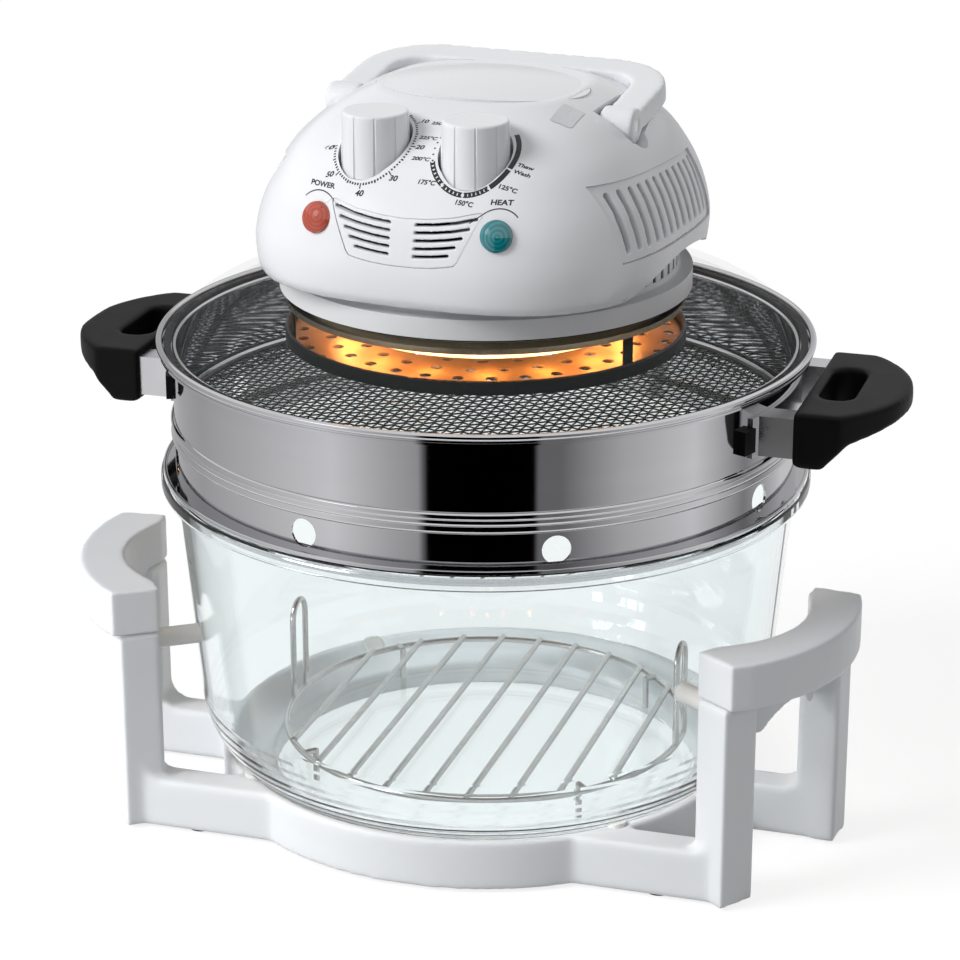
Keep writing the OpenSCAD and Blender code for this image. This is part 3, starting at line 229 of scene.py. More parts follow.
# beyond 97.5 mm from the axis, on its outer wall, the guard is coloured almost black
zone(bronzed_guard, 97.5, "#1D1613")
pressed_aluminium = finish("pressed aluminium", "#C8CACC", "#B8BABD", 10, 0.32, 0.06, 0.8, 0.08, Metallic=1.0)
silver_foil = finish("brushed aluminium foil", "#C6C7C9", "#B4B6B9", 4, 0.30, 0.05, 0.6, 0.05,
                     stretch=(4.0, 0.4, 1.0), Metallic=1.0)
motor_iron = finish("laminated motor iron", "#55565A", "#46474A", 6, 0.45, 0.08, 0.5, 0.20,
                    stretch=(0.2, 0.2, 4.0), Metallic=1.0)
insulation = finish("mineral fibre board", "#CFC6B0", "#BDB398", 5, 0.85, 0.05, 0.6, 0.40)
steatite = finish("steatite ceramic", "#E6DFD0", "#DAD2C0", 6, 0.35, 0.05, 0.8, 0.08)

# %% [markdown]
# ## Glass and lamps
#
# The bowl is clear tempered glass, so its shader bends light through a real wall: the wall's
# thickness comes from CAD. The lid glass is so clear that the photograph hardly shows it, and
# here it is a thin smoky veil. The lamp's quartz tube and its tungsten coil glow. The two signal
# lenses carry painted highlight rings, lighter and darker in turn. Glass and quartz cast no
# shadow here, as a thin clear wall hardly does.

# %% Glass
bowl_glass = finish("tempered soda lime glass", "#F6FAFA", "#F3F8F9", 90, 0.012, 0.004, 30, 0.0,
                    Transmission_Weight=1.0, IOR=1.47)
lid_glass = finish("clear lid glass", "#5C686A", "#566264", 90, 0.02, 0.005, 30, 0.0, Alpha=0.06, IOR=1.47)
quartz = finish("clear quartz tube", "#FFF3DC", "#FFEFD2", 20, 0.05, 0.01, 10, 0.02, Alpha=0.45, IOR=1.46,
                Emission_Color=linear("#FFD9A0"), Emission_Strength=2.2)
tungsten = finish("glowing tungsten", "#FFC27A", "#FFB866", 4, 0.5, 0.05, 1.0, 0.0,
                  Emission_Color=linear("#FFC070"), Emission_Strength=9.0)
red_lens = finish("orange red acrylic", "#C04524", "#A93A1C", 5, 0.08, 0.02, 3, 0.05, Coat_Weight=1.0,
                  Coat_Roughness=0.04, IOR=1.49, Emission_Color=linear("#C8401C"), Emission_Strength=0.06)
# painted highlight rings, lighter and darker in turn, on each signal lens
painted_highlight_rings(red_lens, "power_lens", 2.0, "#9A3216", (0, 0, 3.0))
teal_lens = finish("teal acrylic", "#1F8C92", "#117A82", 5, 0.08, 0.02, 3, 0.05, Coat_Weight=1.0,
                   Coat_Roughness=0.04, IOR=1.49, Emission_Color=linear("#128A90"), Emission_Strength=0.04)
painted_highlight_rings(teal_lens, "heat_lens", 2.0, "#0C5E66", (1.8, 0, 1.8))
print("materials:", len(bpy.data.materials))

# %% Give every CAD node its finish
dress(stand_polypropylene, "base_stand", "stand_grip_left", "stand_grip_right")
dress(white_silicone, "bumper_pads", "bumper_pegs")
dress(grey_rubber, "rubber_feet", "cord_grommet")
dress(zinc_steel, "stand_bolts", "handle_screws", "head_screws", "reflector_screws", "fan_nut",
      "motor_bracket")
dress(bowl_glass, "glass_bowl")
dress(lid_glass, "lid_glass")
dress(nickel_wire, "low_rack")
dress(net_wire, "mesh_rack")
dress(polished_steel, "extension_ring")
dress(bright_steel, "handle_bracket_left", "handle_bracket_right", "handle_pivots", "timer_shaft",
      "thermostat_shaft", "motor_shaft")
dress(phenolic, "pot_handle_left", "pot_handle_right", "handle_spacers")
dress(silicone, "lid_edge_seal", "head_gasket")
dress(skirt_abs, "head_skirt")
dress(head_abs, "head_housing", "top_cover", "front_vent_grille", "carry_handle", "timer_knob",
      "temperature_knob", "side_vent_left", "side_vent_right")
dress(red_lens, "power_lens")
dress(teal_lens, "heat_lens")
dress(hot_reflector, "reflector")
dress(insulation, "heat_shield")
dress(quartz, "halogen_lamp")
dress(tungsten, "lamp_filament")
dress(steatite, "lamp_clips")
dress(bronzed_guard, "heater_guard", "guard_posts")
dress(motor_iron, "motor_stator", "motor_rotor")
dress(works_grey, "timer_unit", "thermostat", "cooling_fan")
dress(switch_black, "safety_switch")
dress(plunger_red, "switch_plunger")
dress(pressed_aluminium, "hot_air_fan")
for name in ("glass_bowl", "lid_glass", "halogen_lamp"):
    node[name].visible_shadow = False
print("dressed nodes:", sum(1 for n in node.values() if n.data.materials))

# %% [markdown]
# ## Rounded mouldings
#
# A moulding has no sharp edge: the mould's corners are radiused so that plastic flows and
# hands are safe. A bevel would trip over the many cuts in these solids. A voxel remesh turns
# a copy into small even faces instead, and a few passes of smoothing then melt every edge by
# the same amount, inside corners too, as a real tool radius does. Flat faces stay flat.

# %% Mesh helpers
def from_bmesh(bm, title):
    mesh = bpy.data.meshes.new(title)
    bm.to_mesh(mesh)
    bm.free()
    made = bpy.data.objects.new(title, mesh)
    bpy.context.collection.objects.link(made)
    return made


def from_curve(curve):
    """Curves and letters as a plain mesh."""
    temp = bpy.data.objects.new(curve.name, curve)
    bpy.context.collection.objects.link(temp)
    mesh = bpy.data.meshes.new_from_object(temp.evaluated_get(bpy.context.evaluated_depsgraph_get()))
    bpy.data.objects.remove(temp)
    return mesh


def merged_copy(name, title):
    mesh = node[name].data.copy()
    made = bpy.data.objects.new(title, mesh)
    bpy.context.collection.objects.link(made)
    bm = bmesh.new()
    bm.from_mesh(mesh)
    bmesh.ops.remove_doubles(bm, verts=bm.verts, dist=0.002 * MM)
    bm.to_mesh(mesh)
    bm.free()
    return made


def apply_modifiers(made):
    graph = bpy.context.evaluated_depsgraph_get()
    mesh = bpy.data.meshes.new_from_object(made.evaluated_get(graph))
    made.modifiers.clear()
    made.data = mesh
    return mesh


# %% Rounding helpers
def soften(made, voxel_mm, passes):
    net = made.modifiers.new("net", "REMESH")
    net.mode = "VOXEL"
    net.voxel_size = voxel_mm * MM
    relax = made.modifiers.new("relax", "SMOOTH")
    relax.factor = 0.5
    relax.iterations = passes
    mesh = apply_modifiers(made)
    mesh.shade_smooth()
    print(made.name, "faces:", len(mesh.polygons))


def stand_in(made, name, body):
    """The piece takes the place and the material of the CAD node that it was made from."""
    dress(node[name].data.materials[0], made)
    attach(made, body)
    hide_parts(name)
    return made


def melt(name, title, body, voxel_mm, passes):
    made = merged_copy(name, title)
    soften(made, voxel_mm, passes)
    return stand_in(made, name, body)


# %% Stand, grips, pot handles and carry handle
melt("base_stand", "moulded_stand", "stand", 1.9, 5)
for side in ("left", "right"):
    melt("stand_grip_" + side, "moulded_grip_" + side, "stand", 1.2, 8)
    melt("pot_handle_" + side, "moulded_pot_handle_" + side, "ring", 1.1, 20)
melt("carry_handle", "moulded_carry_handle", "carry_handle", 0.9, 32)

# %% [markdown]
# ## The housing's smooth skin
#
# The CAD housing is lofted through eleven stations with flat facets between them. The real
# moulding is smooth. Here the same stations are joined by a smooth curve, and the faces of a
# copy are divided and moved out onto that finer form. Cuts and edges stay where they are.

# %% The housing's stations, from part.scad, and the turn of the lid on the ring
HEAD_LOW, HEAD_RISE, HEAD_WIDE, HEAD_DEEP, POWER = 286.0, 86.0, 104.0, 108.0, 2.9
STATIONS = [
    (0.00, 0.970, 0.972, 0.972), (0.05, 0.990, 0.990, 0.990), (0.20, 1.000, 1.000, 1.000),
    (0.34, 0.980, 0.986, 0.990), (0.48, 0.940, 0.957, 0.963), (0.60, 0.888, 0.907, 0.920),
    (0.72, 0.824, 0.834, 0.852), (0.81, 0.752, 0.741, 0.770), (0.89, 0.668, 0.630, 0.657),
    (0.95, 0.577, 0.519, 0.540), (1.00, 0.480, 0.417, 0.426)]
LID_TURN = Matrix.Rotation(math.radians(-5), 4, "Z")


def between(steps):
    """The stations with steps finer ones between each two, on a smooth curve."""
    fine = []
    for i in range(len(STATIONS) - 1):
        p = [Vector(STATIONS[min(max(i + k, 0), len(STATIONS) - 1)]) for k in (-1, 0, 1, 2)]
        for j in range(steps):
            t = j / steps
            fine.append(0.5 * (2 * p[1] + (p[2] - p[0]) * t + (2 * p[0] - 5 * p[1] + 4 * p[2] - p[3]) * t ** 2
                               + (3 * p[1] - p[0] - 3 * p[2] + p[3]) * t ** 3))
    return fine + [Vector(STATIONS[-1])]


def spread(x):
    return math.copysign(abs(x) ** (2 / POWER), x)


def loft(levels, around):
    """A closed form: a circle that is drawn up through the levels and shaped at each."""
    bm = bmesh.new()
    angle = bm.verts.layers.float.new("angle")
    ring = bmesh.ops.create_circle(bm, segments=around, radius=1, cap_ends=True)["verts"]
    for v in ring:
        v[angle] = math.atan2(v.co.y, v.co.x)
    edges = bm.edges[:]
    for k, (up, side, front, rear) in enumerate(levels):
        if k:
            grown = bmesh.ops.extrude_edge_only(bm, edges=edges)["geom"]
            ring = [g for g in grown if isinstance(g, bmesh.types.BMVert)]
            edges = [g for g in grown if isinstance(g, bmesh.types.BMEdge)]
        for v in ring:
            across, along = spread(math.cos(v[angle])), spread(math.sin(v[angle]))
            v.co = LID_TURN @ (MM * Vector((side * HEAD_WIDE * across,
                                            HEAD_DEEP * ((rear - front) / 2 + (rear + front) / 2 * along),
                                            HEAD_LOW + up * HEAD_RISE)))
    bmesh.ops.contextual_create(bm, geom=edges)
    bmesh.ops.recalc_face_normals(bm, faces=bm.faces)
    return bm


# %% Move the copy onto the smooth form
SKIN_MM, STEP_MM, SHARP_DEG = 3.8, 1.5, 32
plain_form = BVHTree.FromBMesh(loft([Vector(s) for s in STATIONS], 44))
smooth_form = BVHTree.FromBMesh(loft(between(6), 176))


def smooth_over(name, title, longest_mm):
    made = merged_copy(name, title)
    bm = bmesh.new()
    bm.from_mesh(made.data)
    for _ in range(5):
        long_edges = [e for e in bm.edges if e.calc_length() > longest_mm * MM]
        if not long_edges:
            break
        bmesh.ops.subdivide_edges(bm, edges=long_edges, cuts=1)
        bmesh.ops.triangulate(bm, faces=[f for f in bm.faces if len(f.verts) > 3])
    moved = 0
    for v in bm.verts:
        flat, _, _, off = plain_form.find_nearest(v.co)
        if off < SKIN_MM * MM:
            step = smooth_form.find_nearest(flat)[0] - flat
            if step.length < STEP_MM * MM:
                v.co += step
                moved += 1
    for e in bm.edges:
        e.smooth = len(e.link_faces) == 2 and e.calc_face_angle(0) < math.radians(SHARP_DEG)
    for f in bm.faces:
        f.smooth = True
    bm.to_mesh(made.data)
    print(title, "faces:", len(bm.faces), "moved:", moved)
    bm.free()
    return stand_in(made, name, "lid")


housing = smooth_over("head_housing", "smooth_housing", 5)
soften(smooth_over("front_vent_grille", "smooth_front_vent", 6), 0.4, 3)
for side in ("left", "right"):
    soften(smooth_over("side_vent_" + side, "smooth_side_vent_" + side, 6), 0.6, 5)

# %% [markdown]
# ## The polished ring, turned again
#
# A mirror shows every flaw of the faces under it. So the ring is turned afresh: a plane
# through the axis cuts its section out of the CAD mesh, the section is spun round in even
# steps, and the vent holes are bored again in the same places. The boring leaves uneven faces
# round each hole, so on the upright walls the shading is told to point straight out.

# %% Spin the ring's own section and bore its vents
RING_R, VENTS, VENT_AHEAD, VENT_R, VENT_Z = 157.5, 8, 29.0, 7.0, 186.2
UPRIGHT = 0.995


def spun_section(name, title, ahead_deg, steps):
    """A copy with the section that lies at an angle from straight ahead, all the way round."""
    a = math.radians(ahead_deg)
    out = Vector((math.sin(a), -math.cos(a), 0))
    made = merged_copy(name, title)
    bm = bmesh.new()
    bm.from_mesh(made.data)
    bmesh.ops.bisect_plane(bm, geom=bm.verts[:] + bm.edges[:] + bm.faces[:], dist=1e-7, plane_co=(0, 0, 0),
                           plane_no=(math.cos(a), math.sin(a), 0), clear_inner=True, clear_outer=True)
    bmesh.ops.delete(bm, geom=[v for v in bm.verts if v.co.dot(out) < 0], context="VERTS")
    bmesh.ops.remove_doubles(bm, verts=bm.verts, dist=0.01 * MM)
    bmesh.ops.dissolve_limit(bm, angle_limit=math.radians(1), verts=bm.verts, edges=bm.edges)
    print(title, "section points:", len(bm.verts), "edges:", len(bm.edges))
    bmesh.ops.spin(bm, geom=bm.verts[:] + bm.edges[:], cent=(0, 0, 0), axis=(0, 0, 1), angle=math.tau,
                   steps=steps, use_merge=True)
    bmesh.ops.remove_doubles(bm, verts=bm.verts, dist=0.005 * MM)
    bmesh.ops.recalc_face_normals(bm, faces=bm.faces)
    bm.to_mesh(made.data)
    bm.free()
    return made


ring = spun_section("extension_ring", "turned_ring", VENT_AHEAD + 180 / VENTS, 180)
bm = bmesh.new()
for k in range(VENTS):
    drill = bmesh.ops.create_cone(bm, cap_ends=True, segments=48, radius1=VENT_R * MM, radius2=VENT_R * MM,
                                  depth=16 * MM)["verts"]
    bmesh.ops.rotate(bm, verts=drill, matrix=Matrix.Rotation(math.pi / 2, 3, "X"))
    bmesh.ops.translate(bm, verts=drill, vec=(0, -RING_R * MM, VENT_Z * MM))
    around = Matrix.Rotation(math.radians(VENT_AHEAD + 360 * k / VENTS), 3, "Z")
    bmesh.ops.rotate(bm, verts=drill, matrix=around)
drills = from_bmesh(bm, "drills")
bore = ring.modifiers.new("bore", "BOOLEAN")
bore.operation, bore.object, bore.solver = "DIFFERENCE", drills, "EXACT"
mesh = apply_modifiers(ring)
bpy.data.objects.remove(drills)
mesh.shade_smooth()
mesh.set_sharp_from_angle(angle=math.radians(SHARP_DEG))
facing = [Vector(n.vector) for n in mesh.corner_normals]
for face in mesh.polygons:
    for corner in face.loop_indices:
        out = mesh.vertices[mesh.loops[corner].vertex_index].co.copy()
        out.z = 0
        out.normalize()
        outward = face.normal.dot(out)
        if abs(outward) > UPRIGHT:
            facing[corner] = out * math.copysign(1, outward)
mesh.normals_split_custom_set(facing)
stand_in(ring, "extension_ring", "ring")
print("ring faces:", len(mesh.polygons))

# %% [markdown]
# ## The woven rack
#
# The rack in the ring is a net of fine wires in a stout hoop. The construction has the hoop
# and a coarse net. Here the net is woven as it is in fact: each wire passes over one crossing
# wire and under the next. The wires are curves with a round section, turned into one mesh.

# %% Weave the net
NET_PITCH, NET_WIRE, NET_R = 4.5, 0.5, 151.5
low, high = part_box("mesh_rack")
net_z = low.z + 1.0 * MM


def woven_net():
    shape = bpy.data.curves.new("woven_net", "CURVE")
    shape.dimensions = "3D"
    shape.bevel_depth = NET_WIRE * MM
    shape.bevel_resolution = 0
    rows = int(NET_R / NET_PITCH)
    for along_x in (True, False):
        for i in range(-rows, rows + 1):
            half = math.sqrt(NET_R ** 2 - (i * NET_PITCH) ** 2)
            reach = int(half / NET_PITCH)
            spots = [-half] + [k * NET_PITCH for k in range(-reach, reach + 1)] + [half]
            line = shape.splines.new("POLY")
            line.points.add(len(spots) - 1)
            for point, s in zip(line.points, spots):
                k = round(s / NET_PITCH)
                rise = NET_WIRE * 0.9 * (1 if (i + k) % 2 == along_x else -1)
                x, y = (s, i * NET_PITCH) if along_x else (i * NET_PITCH, s)
                point.co = (x * MM, y * MM, net_z + rise * MM, 1)
    made = bpy.data.objects.new("woven_net", from_curve(shape))
    bpy.context.collection.objects.link(made)
    return made


net = woven_net()

# %% Its hoop, spun from a small circle
def spun_ring(title, radius_mm, z, section_mm, around=160, sides=12):
    bm = bmesh.new()
    ring = bmesh.ops.create_circle(bm, segments=sides, radius=section_mm * MM)["verts"]
    bmesh.ops.rotate(bm, verts=ring, matrix=Matrix.Rotation(math.pi / 2, 3, "X"))
    bmesh.ops.translate(bm, verts=ring, vec=(radius_mm * MM, 0, z))
    bmesh.ops.spin(bm, geom=bm.verts[:] + bm.edges[:], cent=(0, 0, 0), axis=(0, 0, 1),
                   angle=math.tau, steps=around, use_merge=True)
    bmesh.ops.remove_doubles(bm, verts=bm.verts, dist=0.01 * MM)
    bmesh.ops.recalc_face_normals(bm, faces=bm.faces)
    made = from_bmesh(bm, title)
    made.data.shade_smooth()
    return made


hoop = spun_ring("rack_hoop", 152.6, (low.z + high.z) / 2, 1.5)
for piece in (net, hoop):
    dress(net_wire, piece)
    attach(piece, "mesh_rack")
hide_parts("mesh_rack")
print("net faces:", len(net.data.polygons), "hoop faces:", len(hoop.data.polygons))

# %% [markdown]
# ## Printed dials
#
# The scales are pad printed: a soft pad carries flat ink onto the curved plastic. So each
# mark is made flat in a plane as steep as the panel and then pressed at right angles to that
# plane onto the housing, point by point. Round each knob the marks follow the rim of its
# well, which is a circle from above and so an oval on the slope.

# %% Printing helpers
KNOB_X, KNOB_Y, PANEL_Z, SLOPE = 25.5, 76.0, 357.5, 30.0
ink_black = finish("black pad printing ink", "#17181A", "#1D1E20", 5, 0.5, 0.05, 1.0, 0.02)
housing_tree = BVHTree.FromObject(housing, bpy.context.evaluated_depsgraph_get())


def plane_at(x, y, z, tilt_deg):
    place = Matrix.Translation(Vector((x, y, z)) * MM)
    return LID_TURN @ place @ Matrix.Rotation(math.radians(tilt_deg), 4, "X")


def press(bm, plane, title, material, lift_mm=0.06):
    """Moves flat marks, drawn in mm in a plane, along the plane's axis onto the housing."""
    axis, above, longest = plane.to_3x3() @ Vector((0, 0, 1)), 20 * MM, 1.5
    bmesh.ops.triangulate(bm, faces=bm.faces)
    for _ in range(3):
        long_edges = [e for e in bm.edges if e.calc_length() > longest]
        if long_edges:
            bmesh.ops.subdivide_edges(bm, edges=long_edges, cuts=1)
            bmesh.ops.triangulate(bm, faces=[f for f in bm.faces if len(f.verts) > 3])
    for v in bm.verts:
        start = plane @ (Vector((v.co.x, v.co.y, 0)) * MM) + axis * above
        hit = housing_tree.ray_cast(start, -axis, 3 * above)[0]
        v.co = (hit if hit else start - axis * above) + axis * lift_mm * MM
    for f in bm.faces:
        f.normal_update()
        if f.normal.dot(axis) < 0:
            f.normal_flip()
    made = from_bmesh(bm, title)
    dress(material, made)
    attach(made, "lid")
    print(title, "faces:", len(made.data.polygons))


def letters(bm, words, size, x, y, wide=1.15, slant=0.18, bold=0.035):
    """Words in mm, centred on a place; bold widens each stroke by a share of the size."""
    text = bpy.data.curves.new("words", "FONT")
    text.body, text.size, text.shear = words, size, slant
    text.align_x, text.align_y = "CENTER", "CENTER"
    text.offset = bold * size
    mesh = from_curve(text)
    mesh.transform(Matrix.Translation((x, y, 0)) @ Matrix.Diagonal((wide, 1, 1, 1)))
    bm.from_mesh(mesh)
    bpy.data.meshes.remove(mesh)


def arc(bm, inner, outer, start, end, x):
    """A flat band round a centre at x, from one angle to the other, in degrees."""
    before, a = set(bm.verts), math.radians(start)
    ends = [bm.verts.new((r * math.cos(a), r * math.sin(a), 0)) for r in (inner, outer)]
    edge = bm.edges.new(ends)
    bmesh.ops.spin(bm, geom=ends + [edge], cent=(0, 0, 0), axis=(0, 0, 1),
                   angle=math.radians(end - start), steps=max(2, int(abs(end - start) / 4)))
    bmesh.ops.translate(bm, verts=[v for v in bm.verts if v not in before], vec=(x, 0, 0))


# %% Marks round a knob
DIAL_R, OVAL_REAR, OVAL_FRONT = 19.7, 1.15, 1.27


def round_knob(radius, angle):
    """A place on the oval round a well; radius is its half width, the angle counts from the right."""
    x, y = math.cos(math.radians(angle)), math.sin(math.radians(angle))
    return radius * x, (radius + DIAL_R * ((OVAL_REAR if y > 0 else OVAL_FRONT) - 1)) * y


def dash(bm, inner, outer, wide, angle):
    """A short line that points away from the knob."""
    low, top = (Vector((*round_knob(r, angle), 0)) for r in (inner, outer))
    made = bmesh.ops.create_grid(bm, x_segments=1, y_segments=1, size=0.5)["verts"]
    bmesh.ops.scale(bm, verts=made, vec=((top - low).length, wide, 1))
    bmesh.ops.rotate(bm, verts=made, matrix=Matrix.Rotation(math.atan2(top.y - low.y, top.x - low.x), 3, "Z"))
    bmesh.ops.translate(bm, verts=made, vec=(low + top) / 2)


def band(bm, inner, outer, start, end):
    """A band along the oval, from one angle to the other."""
    steps, overlap = max(2, int(abs(end - start) / 3)), 1.35
    step = (end - start) / steps
    wide = (Vector(round_knob(inner, start)) - Vector(round_knob(inner, start + step))).length
    for k in range(steps):
        dash(bm, inner, outer, wide * overlap, start + step * (k + 0.5))


def figures(bm, size, marks):
    """Words round the knob, each with its angle, its distance from the dial and perhaps its width."""
    for words, (angle, off, *wide) in marks.items():
        letters(bm, words, size, *round_knob(DIAL_R + off, angle), *wide)


# %% Timer dial: minutes round the left knob
bm = bmesh.new()
for minute in range(5, 61):
    angle = 77.5 - minute * 4.15
    if minute % 10:
        dash(bm, DIAL_R - 0.6, DIAL_R + (0.9 if minute % 5 == 0 else 0.5), 0.85, angle)
    else:
        dash(bm, DIAL_R - 0.6, DIAL_R + 2.0, 0.6, angle)
figures(bm, 3.6, {"10": (36, 4.1), "20": (355, 4.1), "30": (313, 4.1), "40": (272, 4.1), "50": (223, 4.3),
                  "60": (189, 4.2, 1.7)})
press(bm, plane_at(-KNOB_X, -KNOB_Y, PANEL_Z, SLOPE), "timer_dial", ink_black)

# %% Temperature dial: degrees round the right knob
bm = bmesh.new()
figures(bm, 3.0, {"250°C": (150, 7.2), "225°C": (172, 5.9), "200°C": (198, 6.0), "175°C": (225, 5.6),
                  "150°C": (276, 3.7), "125°C": (325, 5.6)})
figures(bm, 2.9, {"Thaw": (353, 5.8), "Wash": (345, 6.2)})
for k in range(8):
    dash(bm, DIAL_R - 0.4, DIAL_R + 0.5, 0.9, 140 + k * 9)
for start, end in ((205, 239), (242, 272), (275, 308)):
    band(bm, DIAL_R + 0.7, DIAL_R + 1.3, start, end)
    band(bm, DIAL_R - 1.1, DIAL_R - 0.5, start, end)
    steps = round((end - start) / 6)
    for k in range(steps):
        dash(bm, DIAL_R - 0.5, DIAL_R + 0.7, 1.5, start + (end - start) * (k + 0.5) / steps)
band(bm, DIAL_R - 1.1, DIAL_R + 1.3, 311, 341)
band(bm, DIAL_R - 1.1, DIAL_R + 1.3, 344, 400)
press(bm, plane_at(KNOB_X, -KNOB_Y, PANEL_Z, SLOPE), "temperature_dial", ink_black)

# %% Arcs and words over the two signal lamps
LENS_X, LENS_Z = 45.5, 324.0
bm = bmesh.new()
for side, words in ((-1, "POWER"), (1, "HEAT")):
    arc(bm, 11.5, 12.0, 44, 136, side * LENS_X)
    letters(bm, words, 3.0, side * LENS_X, 14.2, 1.35, 0.0)
press(bm, plane_at(0, -112, LENS_Z, 90), "lamp_marks", ink_black)

# %% [markdown]
# ## The foil plate
#
# A small plate of brushed foil is stuck on the head beside the cover. It is bare here. It is
# drawn flat with rounded corners and pressed onto the housing, as the print is.

# %% A bare foil plate beside the cover
bm = bmesh.new()
corners = bmesh.ops.create_grid(bm, x_segments=1, y_segments=1, size=0.5)["verts"]
bmesh.ops.scale(bm, verts=corners, vec=(10.5, 19, 1))
bmesh.ops.bevel(bm, geom=corners, offset=1.6, segments=4, profile=0.5, affect="VERTICES")
press(bm, plane_at(55.5, -34, 366, 20), "foil_plate", silver_foil, 0.25)

# %% [markdown]
# ## The studio
#
# White things are photographed on white. The paper is white to the eye and grey to the light
# that bounces off it, so the oven's lower parts keep their shade. The polished ring shows
# whatever stands round it: here that is a round screen, seen only in reflections, whose light
# changes softly from grey to white and stops at one black strip, which makes the dark band
# across the ring.

# %% Floor
def seen_directly(tree):
    """1 for what the eye sees, straight, in a mirror or through glass; 0 for light that bounces."""
    rays = add(tree, "ShaderNodeLightPath")
    seen = rays.outputs["Is Camera Ray"]
    for kind in ("Is Glossy Ray", "Is Transmission Ray"):
        either = add(tree, "ShaderNodeMath", {"operation": "MAXIMUM"}, _0=seen, _1=rays.outputs[kind])
        seen = either.outputs[0]
    return seen


bm = bmesh.new()
bmesh.ops.create_grid(bm, x_segments=1, y_segments=1, size=6)
floor = from_bmesh(bm, "floor")
paper, tree = blank("matt white paper")
place = add(tree, "ShaderNodeTexCoord")
fibre = add(tree, "ShaderNodeTexNoise", Vector=place.outputs["Object"], Scale=400.0)
tone = add(tree, "ShaderNodeMix", {"data_type": "RGBA"}, Factor=fibre.outputs["Fac"], _6=linear("#8A8A8A"),
           _7=linear("#8E8E8E"))
seen = seen_directly(tree)
lift = add(tree, "ShaderNodeMath", {"operation": "MULTIPLY"}, _0=seen, _1=0.80)
sheet = add(tree, "ShaderNodeMix", {"data_type": "RGBA"}, Factor=seen, _6=linear("#B4B4B4"),
            _7=tone.outputs[2])
matt = add(tree, "ShaderNodeBsdfDiffuse", Color=sheet.outputs[2])
glow = add(tree, "ShaderNodeEmission", Color=linear("#FFFFFF"), Strength=lift.outputs[0])
both = add(tree, "ShaderNodeAddShader", _0=matt.outputs[0], _1=glow.outputs[0])
add(tree, "ShaderNodeOutputMaterial", Surface=both.outputs[0])
dress(paper, floor)

# %% The round screen, as stops of azimuth in degrees and brightness
SCREEN = [(-180, 0.55), (-91, 0.50), (-62, 0.68), (-30, 0.95), (-12, 0.60), (-2, 0.45), (-1, 0.0),
          (31, 0.0), (32, 0.20), (39, 0.20), (58, 0.60), (84, 0.90), (108, 0.30), (136, 0.80), (180, 0.55)]
SCREEN_R, SCREEN_H = 0.45, 0.42
bm = bmesh.new()
made = bmesh.ops.create_cone(bm, segments=96, radius1=SCREEN_R, radius2=SCREEN_R, depth=SCREEN_H)["verts"]
bmesh.ops.translate(bm, verts=made, vec=(0, 0, SCREEN_H / 2 + 0.001))
screen = from_bmesh(bm, "screen")
lit_cloth, tree = blank("lit cloth")
place = add(tree, "ShaderNodeTexCoord")
part = add(tree, "ShaderNodeSeparateXYZ", Vector=place.outputs["Object"])
ahead = add(tree, "ShaderNodeMath", {"operation": "MULTIPLY"}, _0=part.outputs["Y"], _1=-1.0)
azimuth = add(tree, "ShaderNodeMath", {"operation": "ARCTAN2"}, _0=part.outputs["X"], _1=ahead.outputs[0])
share = add(tree, "ShaderNodeMapRange", Value=azimuth.outputs[0], From_Min=-math.pi, From_Max=math.pi)
ramp = add(tree, "ShaderNodeValToRGB", Fac=share.outputs[0])
stops = ramp.color_ramp.elements
for k, (angle, light) in enumerate(SCREEN):
    along = (angle + 180) / 360
    stop = stops[0] if k == 0 else stops[-1] if k == len(SCREEN) - 1 else stops.new(along)
    stop.position = along
    stop.color = (light, light, light * 1.01, 1)
glow = add(tree, "ShaderNodeEmission", Color=ramp.outputs["Color"], Strength=1.0)
add(tree, "ShaderNodeOutputMaterial", Surface=glow.outputs[0])
dress(lit_cloth, screen)
screen.visible_camera = screen.visible_diffuse = screen.visible_shadow = False
screen.visible_transmission = False

# %% [markdown]
# ## Light
#
# The key is a soft sun from high on the left, so the right-hand sides fall to grey and every
# form reads. A large window lamp softens it, and a low lamp on the left fills the stand. The
# ring's mirror shows the window lamp only. Sixteen small warm lamps ride on the lid along the
# heater's coil and light the guard as the coil does.

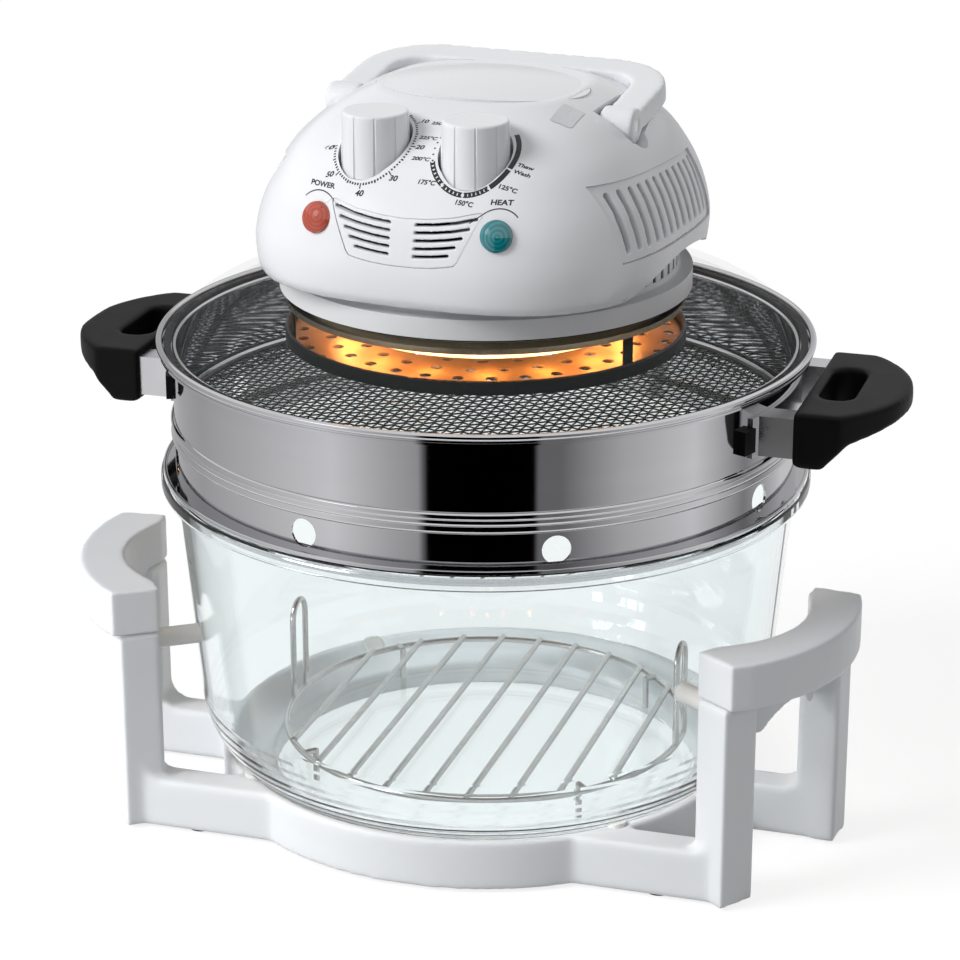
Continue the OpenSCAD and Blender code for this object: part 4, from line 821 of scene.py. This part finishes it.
# %% Lamps
def disk_lamp(title, watts, size, place, aim):
    lamp = bpy.data.lights.new(title, "AREA")
    lamp.energy, lamp.size, lamp.shape = watts, size, "DISK"
    thing = bpy.data.objects.new(title, lamp)
    thing.location = place
    thing.rotation_euler = (Vector(aim) - Vector(place)).to_track_quat("-Z", "Y").to_euler()
    bpy.context.collection.objects.link(thing)
    return thing


key = bpy.data.objects.new("key", bpy.data.lights.new("key", "SUN"))
key.data.energy, key.data.angle = 1.98, math.radians(25)
key.rotation_euler = (-Vector((-0.64, -0.47, 0.60))).to_track_quat("-Z", "Y").to_euler()
key.visible_glossy = False
bpy.context.collection.objects.link(key)
disk_lamp("left_window", 1.8, 0.7, (-1.2, -1.3, 1.3), (0, 0, 0.2))
low_left = disk_lamp("low_left", 0.42, 0.4, (-0.62, -0.62, 0.12), (-0.15, -0.05, 0.10))
low_left.data.spread = math.radians(70)
low_left.visible_glossy = False

COIL_LAMPS, COIL_R, COIL_Z, COIL_START, COIL_STEP = 16, 72.0, 251.5, 115, 23
for k in range(COIL_LAMPS):
    angle = math.radians(COIL_START + COIL_STEP * (k + 0.5))
    spark = bpy.data.objects.new("heater_glow_%d" % k, bpy.data.lights.new("heater_glow_%d" % k, "POINT"))
    spark.data.energy, spark.data.shadow_soft_size = 0.09, 0.005
    spark.data.color = linear("#FFC478")[:3]
    spark.location = Vector((COIL_R * math.cos(angle), COIL_R * math.sin(angle), COIL_Z)) * MM
    spark.visible_glossy = False
    bpy.context.collection.objects.link(spark)
    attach(spark, "lid")

# %% World: dim for light that bounces, white for the eye
world = bpy.data.worlds.new("studio")
bpy.context.scene.world = world
world.use_nodes = True
tree = world.node_tree
tree.nodes.clear()
level = add(tree, "ShaderNodeMapRange", Value=seen_directly(tree), _3=0.40, _4=1.0)
sky = add(tree, "ShaderNodeBackground", Color=linear("#FFFFFF"), Strength=level.outputs[0])
add(tree, "ShaderNodeOutputWorld", Surface=sky.outputs[0])
bpy.context.scene.view_settings.view_transform = "Standard"
